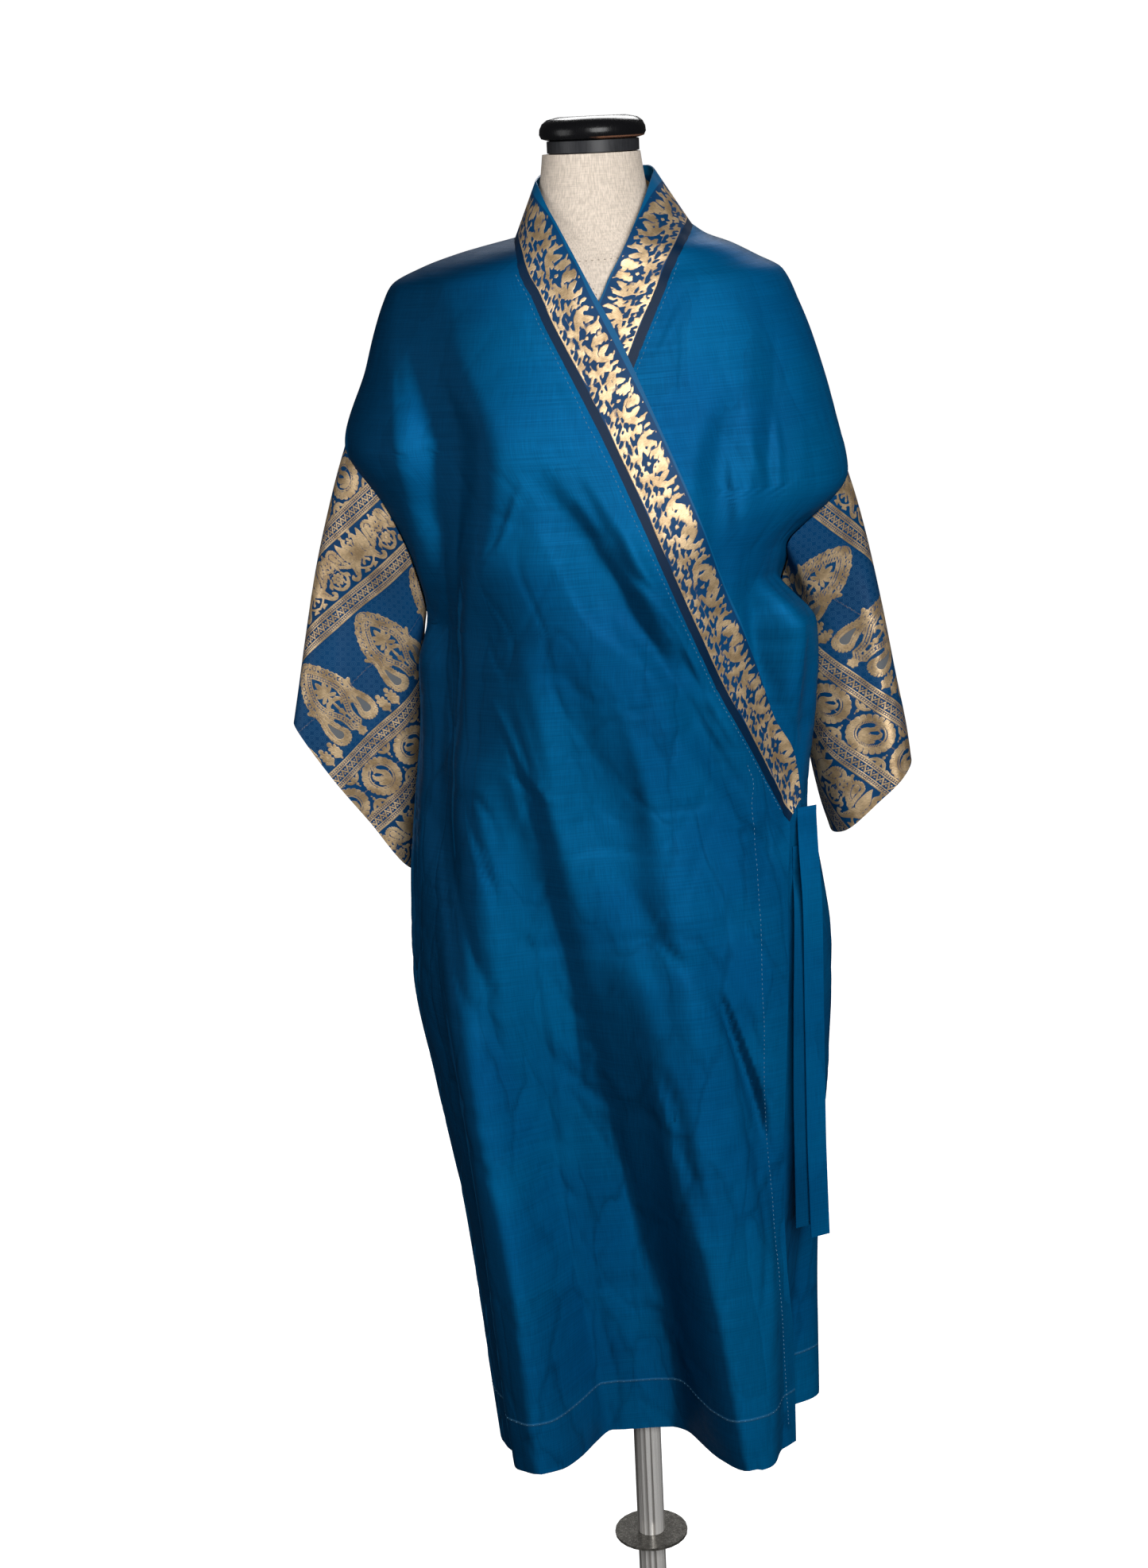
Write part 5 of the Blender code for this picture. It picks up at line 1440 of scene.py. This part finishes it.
def stitches(name, lines, pitch, length):
    """Rows of separate stitches, each a small pointed bar that lies on the cloth."""
    points, faces = [], []
    for line, normals in lines:
        run = lengths(line)
        for start in np.arange(0.5 * pitch, run[-1] - length, pitch):
            spots = (start, start + 0.5 * length, start + length)
            low, middle, high = (at_run(line, run, spot) for spot in spots)
            up = at_run(normals, run, spots[1])
            side = np.cross(high - low, up)
            side *= 0.5 * STITCH_WIDTH / np.linalg.norm(side)
            up *= 0.5 * STITCH_WIDTH
            first = len(points)
            points += [low - up, high - up, middle + side, middle + up, middle - side, middle - up]
            for left, right in ((2, 3), (3, 4), (4, 5), (5, 2)):
                faces.append((first, first + left, first + right))
                faces.append((first + 1, first + right, first + left))
    return add_mesh(name, points, faces)


def hem_line(front, edges_at, lift_at):
    start, end = edges_at(HEM + HEM_DEPTH)
    places = np.linspace(start + HEM_END, end - HEM_END, LONG_COUNT)
    return on_cloth(front, places, np.full(LONG_COUNT, HEM + HEM_DEPTH), lift_at, edges_at)


def facing_line():
    heights = np.linspace(FACING_LINE[0][0], FACING_LINE[-1][0], LONG_COUNT)
    places = [half_ring_place(float(read_table(FACING_LINE, height)[0]), height) for height in heights]
    return on_cloth(True, places, heights, no_lift, right_front_edges)


def seam_line(seam_at, side, foot, lift_at, edges_at):
    """Topstitch beside the seam of a neckband."""
    heights = np.linspace(foot, TOPSTITCH_TOP, SEAM_COUNT)
    places = [seam_at(height) + side * TOPSTITCH_SETBACK / HALF_GIRTH for height in heights]
    return on_cloth(True, places, heights, lift_at, edges_at)


def form_line(height, angle, rise, turn, count):
    """Line on the dress form, by height and by angle round it in degrees, 0 in front."""
    points = []
    for part in np.linspace(0.0, 1.0, count):
        ring = form_ring(height + rise * part, FORM_ANGLES)
        points.append(ring[round((270.0 + angle + turn * part) / 360.0 * FORM_ANGLES) % FORM_ANGLES])
    line = np.array(points)
    normals = unit(line * np.array([1.0, 1.0, 0.0]))
    return line + normals * 0.4 * STITCH_WIDTH, normals


# Surface colours, linear; steels are a dark and a bright tone, with painted reflection streaks between them
# that are faint on the dull steel
SILK_TEAL = (0.0003, 0.096, 0.240)
SILK_BLUE = (0.0003, 0.078, 0.215)
# Painted shade: the deep blue that silk goes to where a face turns away from the light
SILK_PAINTED_SHADE = (0.0005, 0.032, 0.086)
THREAD_BLUE = (0.085, 0.230, 0.370)
BROCADE_BLUE = (0.0015, 0.050, 0.150)
BROCADE_DEEP = (0.0015, 0.036, 0.110)
BROCADE_LATTICE = (0.020, 0.085, 0.190)
GOLD_DARK = (0.37, 0.255, 0.140)
GOLD_LIGHT = (0.67, 0.490, 0.290)
BAND_STRIP = (0.0008, 0.016, 0.048)
THREAD_GREY = (0.13, 0.14, 0.15)
LINEN_DARK = (0.60, 0.515, 0.430)
LINEN_LIGHT = (0.86, 0.745, 0.630)
LACQUER_BLACK = (0.006, 0.006, 0.007)
LACQUER_GREY = (0.050, 0.052, 0.058)
LACQUER_WORN = (0.26, 0.120, 0.070)
# Pole steel: dark and bright tones of its painted reflection streaks
POLE_STEEL_PAINTED_REFLECTIONS = ((0.20, 0.185, 0.17), (1.0, 0.98, 0.95))
# Base steel: the streaks between these close tones are faint painted reflections
DULL_STEEL = ((0.085, 0.081, 0.072), (0.145, 0.138, 0.124))
THREAD_BROWN = (0.30, 0.25, 0.19)
FLOOR_PALE = (0.60, 0.60, 0.60)
WHITE = (1.0, 1.0, 1.0)
# Heights of the cap's grained ring, which fades out between the first two, and of its worn edge
CAP_RING_TOP = (1.7162, 1.7168)
CAP_EDGE = 1.7182
# Bordered stripe of the sleeve cloth, in mm out from its middle: zigzag with knots, line, beads, line
STRIPE_WAVE = 3.5
STRIPE_KNOT = 1.7
STRIPE_INNER = 4.8
STRIPE_BEADS = 6.9
STRIPE_OUTER = 9.0
BEAD_SPACING = 1.2
# Lattice between the rows: half of its cell, and how far out its rings lie with their half width, in mm
LATTICE_CELL = 3.7
LATTICE_RINGS = ((2.9, 0.30), (1.4, 0.28))
# Neckband cloth in m from its seam: end of the plain strip, start of the gold cast, plain edge
STRIP_END = (0.0088, 0.0094)
CAST_START = (0.0094, 0.0120)
PLAIN_EDGE = (0.0515, 0.0525)


class Surface:
    """A material being put together. Node inputs are named, or counted as in1, in2 and so on."""

    def __init__(self, name):
        self.material = bpy.data.materials.new(name)
        self.material.use_nodes = True
        self.tree = self.material.node_tree
        self.shader = self.tree.nodes["Principled BSDF"]

    def feed(self, node, inputs):
        for key, value in inputs.items():
            counted = key.startswith("in") and key[2:].isdigit()
            socket = node.inputs[int(key[2:])] if counted else node.inputs[key.replace("_", " ")]
            if isinstance(value, bpy.types.NodeSocket):
                self.tree.links.new(value, socket)
            else:
                socket.default_value = value

    def node(self, kind, settings=None, out=0, **inputs):
        made = self.tree.nodes.new("ShaderNode" + kind)
        for key, value in (settings or {}).items():
            setattr(made, key, value)
        self.feed(made, inputs)
        return made.outputs[out]

    def attribute(self, name, out="Vector"):
        made = self.tree.nodes.new("ShaderNodeAttribute")
        made.attribute_name = name
        return made.outputs[out]

    def math(self, operation, first, second=0.0, third=0.0):
        return self.node("Math", {"operation": operation}, in0=first, in1=second, in2=third)

    def parts(self, vector):
        made = self.tree.nodes.new("ShaderNodeSeparateXYZ")
        self.tree.links.new(vector, made.inputs[0])
        return made.outputs[:3]

    def within(self, reach, across, along):
        """How far inside a round or a line a place is."""
        square = self.math("MULTIPLY", along, along)
        square = self.math("MULTIPLY_ADD", across, across, square)
        return self.math("SUBTRACT", reach, self.math("SQRT", square))

    def stretched(self, vector, scale):
        return self.node("Mapping", Vector=vector, Scale=scale)

    def noise(self, vector, scale, detail=2.0, roughness=0.5):
        return self.node("TexNoise", Vector=vector, Scale=scale, Detail=detail, Roughness=roughness)

    def ramp(self, value, low, high, first=0.0, last=1.0):
        settings = {"interpolation_type": "SMOOTHSTEP"}
        limits = {"From_Min": low, "From_Max": high, "To_Min": first, "To_Max": last}
        return self.node("MapRange", settings, Value=value, **limits)

    def mix(self, part, first, second):
        made = self.tree.nodes.new("ShaderNodeMix")
        made.data_type = "RGBA"
        for index, value in ((0, part), (6, first), (7, second)):
            if isinstance(value, bpy.types.NodeSocket):
                self.tree.links.new(value, made.inputs[index])
            elif index:
                made.inputs[index].default_value = (*value, 1.0)
            else:
                made.inputs[index].default_value = value
        return made.outputs[2]

    def streaks(self, vector, scale, detail=2.0):
        """Noise drawn out by a different scale along each axis."""
        return self.noise(self.stretched(vector, scale), 1.0, detail)

    def away(self, value, middle):
        return self.math("ABSOLUTE", self.math("SUBTRACT", value, middle))

    def uneven(self, tone, value, amount):
        """A tone that a noise raises and lowers by up to half this amount."""
        return self.math("MULTIPLY_ADD", self.ramp(value, 0.30, 0.70, -0.5, 0.5), amount, tone)

    def scaled(self, colour, tone):
        return self.node("VectorMath", {"operation": "SCALE"}, in0=colour, in3=tone)

    def cells(self, vector, out=0, **settings):
        settings["voronoi_dimensions"] = "2D"
        return self.node("TexVoronoi", settings, out=out, Vector=vector, Scale=1.0)

    def bump(self, height, strength, distance, under=None):
        inputs = {"Height": height, "Strength": strength, "Distance": distance}
        if under is not None:
            inputs["Normal"] = under
        return self.node("Bump", **inputs)

    def finish(self, **inputs):
        self.feed(self.shader, inputs)
        return self.material


def silk():
    """Silk: teal face mottled with blue, painted shade where a face turns from the light, painted light and
    shade on crumples, and fine ribs across and slubs along the weft.
    """
    made = Surface("silk_shot")
    cloth = made.attribute("cloth")
    # Painted shade: how far each face turns to the light, low where it turns away
    shot = made.ramp(made.attribute("facing", "Fac"), 0.48, 1.06)
    slub = made.streaks(cloth, (14.0, 900.0, 1.0), 3.0)
    warp = made.streaks(cloth, (1500.0, 40.0, 1.0))
    cloud = made.noise(cloth, 7.0, 3.0)
    base = made.mix(made.ramp(cloud, 0.35, 0.65), SILK_TEAL, SILK_BLUE)
    # Painted shade: deep blue on faces turned away from the light
    base = made.mix(shot, SILK_PAINTED_SHADE, base)
    tone = made.uneven(made.uneven(1.0, slub, 0.18), warp, 0.16)
    # Crumples: bumps along their creases, with painted light and shade on their facets and creases
    crumple = made.node("Mapping", Vector=cloth, Rotation=(0.0, 0.0, 0.28), Scale=(26.0, 8.0, 1.0))
    sway = made.node("TexNoise", out=1, Vector=crumple, Scale=0.9, Detail=3.0, Roughness=0.6)
    crumple = made.node("VectorMath", {"operation": "ADD"}, in0=crumple, in1=sway)
    painted_facet_light = made.parts(made.cells(crumple, out=1))[0]
    edge = made.cells(crumple, feature="DISTANCE_TO_EDGE")
    height = made.parts(cloth)[1]
    lower = made.ramp(height, 1.12, 1.34, 1.0, 0.15)
    edge = made.math("MULTIPLY", made.ramp(edge, 0.0, 0.10, 1.0, 0.0), lower)
    # Painted light and shade: each crumple facet a little lighter or darker at random
    tone = made.math("MULTIPLY_ADD", made.math("SUBTRACT", painted_facet_light, 0.5), 0.16, tone)
    # Painted shade, with a little painted light in places, along the crumple creases, fading out from 1.12
    # to 1.34 m up
    tone = made.math("MULTIPLY_ADD", edge, made.ramp(cloud, 0.30, 0.70, 0.02, -0.22), tone)
    colour = made.scaled(base, tone)
    weave = made.math("ADD", slub, warp)
    pressed = made.ramp(made.away(height, HEM + HEM_DEPTH), 0.0004, 0.0022, 1.0, 0.0)
    colour = made.mix(made.math("MULTIPLY", pressed, 0.25), colour, THREAD_BLUE)
    folds = made.bump(made.math("MULTIPLY_ADD", edge, -0.6, pressed), 0.6, 0.0008)
    rough = made.ramp(slub, 0.2, 0.8, 0.54, 0.46)
    return made.finish(
        Base_Color=colour, Roughness=rough, Metallic=0.18, Normal=made.bump(weave, 0.22, 0.0004, folds),
        Specular_IOR_Level=0.02,
    )


def brocade(name, sleeve):
    """Blue silk with raised gold figures; sleeves also have bordered stripes and a faint lattice."""
    made = Surface(name)
    cloth = made.attribute("cloth")
    gold = made.attribute("zari", "Fac")
    cloud = made.noise(cloth, 9.0, 3.0)
    blue = made.mix(made.ramp(cloud, 0.35, 0.65), BROCADE_BLUE, BROCADE_DEEP)
    if sleeve:
        place, offset, ground = made.parts(made.attribute("place"))
        away = made.math("ABSOLUTE", offset)
        wave = made.math("PINGPONG", place, STRIPE_WAVE)
        bead = made.math("PINGPONG", place, BEAD_SPACING)
        zigzag = made.math("SUBTRACT", offset, made.math("MULTIPLY_ADD", wave, 1.6, -0.8 * STRIPE_WAVE))
        figures = (
            # half width, across and along from the figure's middle
            (0.90, bead, made.math("SUBTRACT", away, STRIPE_BEADS)),
            (0.80, wave, made.math("SUBTRACT", offset, STRIPE_KNOT)),
            (0.80, made.math("SUBTRACT", STRIPE_WAVE, wave), made.math("ADD", offset, STRIPE_KNOT)),
            (0.85, made.math("MULTIPLY", zigzag, 0.6), 0.0),
            (0.55, made.math("SUBTRACT", away, STRIPE_INNER), 0.0),
            (0.85, made.math("SUBTRACT", away, STRIPE_OUTER), 0.0),
        )
        for figure in figures:
            gold = made.math("MAXIMUM", gold, made.within(*figure))
        right, up = (made.math("PINGPONG", value, LATTICE_CELL) for value in (place, ground))
        cell = made.math("MULTIPLY", made.math("ADD", right, up), 0.72)
        cell = made.math("MAXIMUM", made.math("MAXIMUM", right, up), cell)
        rings = [made.within(half, made.math("SUBTRACT", cell, out), 0.0) for out, half in LATTICE_RINGS]
        rings = made.math("MINIMUM", made.math("MAXIMUM", *rings), made.math("SUBTRACT", ground, 1.5))
        blue = made.mix(made.ramp(rings, -0.25, 0.2, 0.0, 0.8), blue, BROCADE_LATTICE)
    else:
        from_seam = made.parts(cloth)[0]
        blue = made.mix(made.ramp(from_seam, *STRIP_END, 1.0, 0.0), blue, BAND_STRIP)
        blue = made.mix(made.ramp(from_seam, *PLAIN_EDGE), blue, SILK_TEAL)
        gold = made.math("ADD", gold, made.ramp(from_seam, *CAST_START, 0.0, 0.12))
    mask = made.ramp(gold, -0.28, 0.12)
    thread = made.streaks(cloth, (260.0, 2600.0, 1.0))
    worn = made.noise(cloth, 55.0, 3.0)
    metal = made.mix(made.ramp(worn, 0.35, 0.65), GOLD_DARK, GOLD_LIGHT)
    metal = made.scaled(metal, made.uneven(1.0, thread, 0.55))
    colour = made.mix(mask, blue, metal)
    if sleeve:
        core = made.ramp(made.attribute("grey", "Fac"), -0.28, 0.12)
        colour = made.mix(core, colour, THREAD_GREY)
    raised = made.math("ADD", made.ramp(gold, -0.5, 0.5), made.math("MULTIPLY", thread, 0.35))
    return made.finish(
        Base_Color=colour, Metallic=made.math("MULTIPLY", mask, 0.45), Specular_IOR_Level=0.15,
        Roughness=made.ramp(mask, 0.0, 1.0, 0.50, 0.40), Normal=made.bump(raised, 0.5, 0.0003),
    )


def linen():
    made = Surface("linen_plain")
    place = made.node("TexCoord", out=3)
    weft = made.streaks(place, (90.0, 90.0, 1400.0))
    warp = made.streaks(place, (900.0, 900.0, 26.0))
    weave = made.math("ADD", made.math("MULTIPLY_ADD", weft, 0.5, 0.25), warp)
    colour = made.mix(made.ramp(weave, 0.75, 1.25), LINEN_DARK, LINEN_LIGHT)
    return made.finish(Base_Color=colour, Roughness=0.88, Normal=made.bump(weave, 0.35, 0.0006))


def lacquer():
    """Black gloss with a grained grey ring under it and a lower edge worn to the wood."""
    made = Surface("lacquer_black")
    place = made.node("TexCoord", out=3)
    across, _, height = made.parts(place)
    grain = made.streaks(place, (900.0, 900.0, 60.0), 3.0)
    ring = made.ramp(height, *CAP_RING_TOP, 1.0, 0.0)
    colour = made.mix(made.math("MULTIPLY", ring, grain), LACQUER_BLACK, LACQUER_GREY)
    edge = made.ramp(made.away(height, CAP_EDGE), 0.0004, 0.0018, 1.0, 0.0)
    patch = made.math("ADD", made.noise(place, 38.0, 3.0), made.math("MULTIPLY", across, 5.0))
    worn = made.math("MULTIPLY", edge, made.ramp(patch, 0.52, 0.66))
    return made.finish(
        Base_Color=made.mix(worn, colour, LACQUER_WORN), Specular_IOR_Level=0.30,
        Roughness=made.math("MULTIPLY_ADD", ring, 0.16, made.ramp(grain, 0.3, 0.7, 0.20, 0.30)),
        Normal=made.bump(grain, 0.10, 0.0003),
    )


def steel(name, dark, bright):
    """Steel brushed lengthwise in fine lines, with broader painted reflection streaks between a dark and a
    bright tone.
    """
    made = Surface(name)
    place = made.node("TexCoord", out=3)
    lines = made.streaks(place, (700.0, 700.0, 14.0), 3.0)
    # Painted reflections: broad vertical streaks from the dark tone to the bright one
    painted_reflections = made.ramp(made.streaks(place, (210.0, 210.0, 0.8)), 0.42, 0.58)
    tone = made.math("MULTIPLY_ADD", lines, 0.3, made.math("MULTIPLY", painted_reflections, 0.85))
    return made.finish(
        Base_Color=made.mix(tone, dark, bright), Metallic=0.50,
        Roughness=made.ramp(lines, 0.3, 0.7, 0.18, 0.30), Normal=made.bump(lines, 0.10, 0.0003),
    )


def plain(name, colour, rough, **inputs):
    return Surface(name).finish(Base_Color=(*colour, 1.0), Roughness=rough, **inputs)


# Floor that curves up into a backdrop: radius and height
FLOOR_DROP = 0.0005
FLOOR_PROFILE = (
    (0.02, 0.0), (4.0, 0.0), (6.0, 0.0), (7.4, 0.3), (8.4, 1.2), (8.9, 2.6), (9.0, 4.2), (9.0, 9.0),
)


def stage():
    """Pale floor, lit from itself, that only the camera sees."""
    rings = round_rings([(radius, height - FLOOR_DROP) for radius, height in FLOOR_PROFILE])
    ids = grid_ids(len(rings), ROUND_SIDES)
    faces = grid_faces(ids, wrap=True, flip=True) + [ids[0].tolist()]
    floor = add_mesh("studio_floor", rings, faces, 180.0)
    glow = {"Emission_Color": (*WHITE, 1.0), "Emission_Strength": 0.95, "Specular_IOR_Level": 0.0}
    floor.data.materials.append(plain("studio_floor", FLOOR_PALE, 0.9, **glow))
    floor.visible_diffuse = False
    floor.visible_glossy = False


LIGHT_AIM = Vector((0.0, 0.0, 1.0))
LIGHTS = (
    # name, place, width and height in m, power in W
    ("key", (0.8, -3.5, 2.3), (2.2, 2.6), 150.0),
    ("fill", (-2.8, -1.2, 1.5), (1.6, 2.4), 26.0),
    ("back", (0.4, 2.6, 3.6), (2.0, 1.6), 85.0),
)
WORLD_STRENGTH = 0.03


def light(name, place, size, power):
    data = bpy.data.lights.new(name, "AREA")
    data.shape = "RECTANGLE"
    data.size, data.size_y = size
    data.energy = power
    thing = add_object(name, data)
    thing.visible_camera = False
    turn = (Vector(place) - LIGHT_AIM).to_track_quat("Z", "Y").to_matrix().to_4x4()
    thing.matrix_world = Matrix.Translation(place) @ turn


def studio():
    world = bpy.data.worlds.new("studio")
    world.use_nodes = True
    background = world.node_tree.nodes["Background"]
    background.inputs["Color"].default_value = (*WHITE, 1.0)
    background.inputs["Strength"].default_value = WORLD_STRENGTH
    bpy.context.scene.world = world
    for row in LIGHTS:
        light(*row)
    bpy.context.scene.view_settings.view_transform = "Standard"


# Nodes whose steel gets the bright painted reflection streaks
PAINTED_REFLECTION_NODES = ("pole", "pole_lower")
FORM_SEAMS = (
    # height and angle where a seam of the form starts, how both change along it, count of points
    (1.606, 70.0, 0.0, -140.0, 120),
    (1.604, 0.0, -0.12, 0.0, 60),
)


HARD_NAMES = {"form_body": "form_cover", "cap_ring": "cap_ring_turned", "cap_bun": "cap_bun_turned"}


def dress():
    """The cloth, the form and its cap, by the node that each of them replaces."""
    silk_cloth, sleeve_cloth = silk(), brocade("brocade_sleeve", True)
    band_cloth, black = brocade("brocade_band", False), lacquer()
    pieces = (
        # node, slot, surface, what builds it, from what
        ("right_front", "silk", silk_cloth, panel, True, right_front_edges, FRONT_TOP, no_lift),
        ("left_front", "silk", silk_cloth, panel, True, left_front_edges, FRONT_TOP, under_lift, gap_shade),
        ("back", "silk", silk_cloth, panel, False, back_edges, NECKLINE, no_lift),
        ("right_sleeve", "brocade", sleeve_cloth, sleeve, -1, RIGHT_SLEEVE),
        ("left_sleeve", "brocade", sleeve_cloth, sleeve, 1, LEFT_SLEEVE),
        ("neckband_right", "brocade", band_cloth, neckband, -1, RIGHT_BAND, no_lift, RIGHT_BAND_RISE),
        ("neckband_left", "brocade", band_cloth, neckband, 1, LEFT_BAND, under_lift, 0.0),
        ("tie_front", "silk", silk_cloth, tie, FRONT_TIE, FRONT_TIE_CLEARANCE, 0.0),
        ("tie_under", "silk", silk_cloth, tie, UNDER_TIE, UNDER_TIE_CLEARANCE, UNDER_TIE_SHADE),
        ("form_body", "linen", linen(), form_body),
        ("cap_ring", "lacquer", black, turned, CAP_RING_PROFILE),
        ("cap_bun", "lacquer", black, turned, CAP_BUN_PROFILE),
    )
    dressed = {}
    for node, slot, surface, build, *inputs in pieces:
        thing = build(HARD_NAMES.get(node, node + "_cloth"), *inputs)
        thing.data.materials.append(surface)
        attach(thing, "root")
        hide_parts(node)
        dressed[node] = thing
    return dressed


def sew():
    """Rows of stitches, by the node of the piece that they are sewn into."""
    facing = facing_line()
    right_seam = seam_line(right_seam_place, -1, RIGHT_TOPSTITCH_FOOT, no_lift, right_front_edges)
    left_seam = seam_line(left_seam_place, 1, LEFT_TOPSTITCH_FOOT, under_lift, left_front_edges)
    sewing = (
        ("right_front", HEM_STITCH, [hem_line(True, right_front_edges, no_lift)]),
        ("right_front", TOP_STITCH, [facing, right_seam]),
        ("left_front", HEM_STITCH, [hem_line(True, left_front_edges, under_lift)]),
        ("left_front", TOP_STITCH, [left_seam]),
        ("back", HEM_STITCH, [hem_line(False, back_edges, no_lift)]),
        ("form_body", FORM_STITCH, [form_line(*seam) for seam in FORM_SEAMS]),
    )
    blue, brown = plain("thread_blue", THREAD_BLUE, 0.6), plain("thread_linen", THREAD_BROWN, 0.8)
    sewn = {}
    for number, (node, stitch, lines) in enumerate(sewing):
        slot, surface = ("linen", brown) if node == "form_body" else ("silk", blue)
        thing = stitches("stitches_%s_%d" % (node, number), lines, *stitch)
        thing.data.materials.append(surface)
        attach(thing, "root")
        sewn.setdefault(node, []).append(thing)
    return sewn


def main():
    cloth, sewn = dress(), sew()
    # Steel with bright painted reflection streaks for the pole; the dull steel's streaks are faint
    bright, dull = steel("steel_bright", *POLE_STEEL_PAINTED_REFLECTIONS), steel("steel_dull", *DULL_STEEL)
    for node in ("pole", "pole_lower", "pole_disc", "base_socket", "base_plate"):
        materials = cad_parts[node].data.materials
        materials.clear()
        materials.append(bright if node in PAINTED_REFLECTION_NODES else dull)
    stage()
    studio()
    camera()


main()
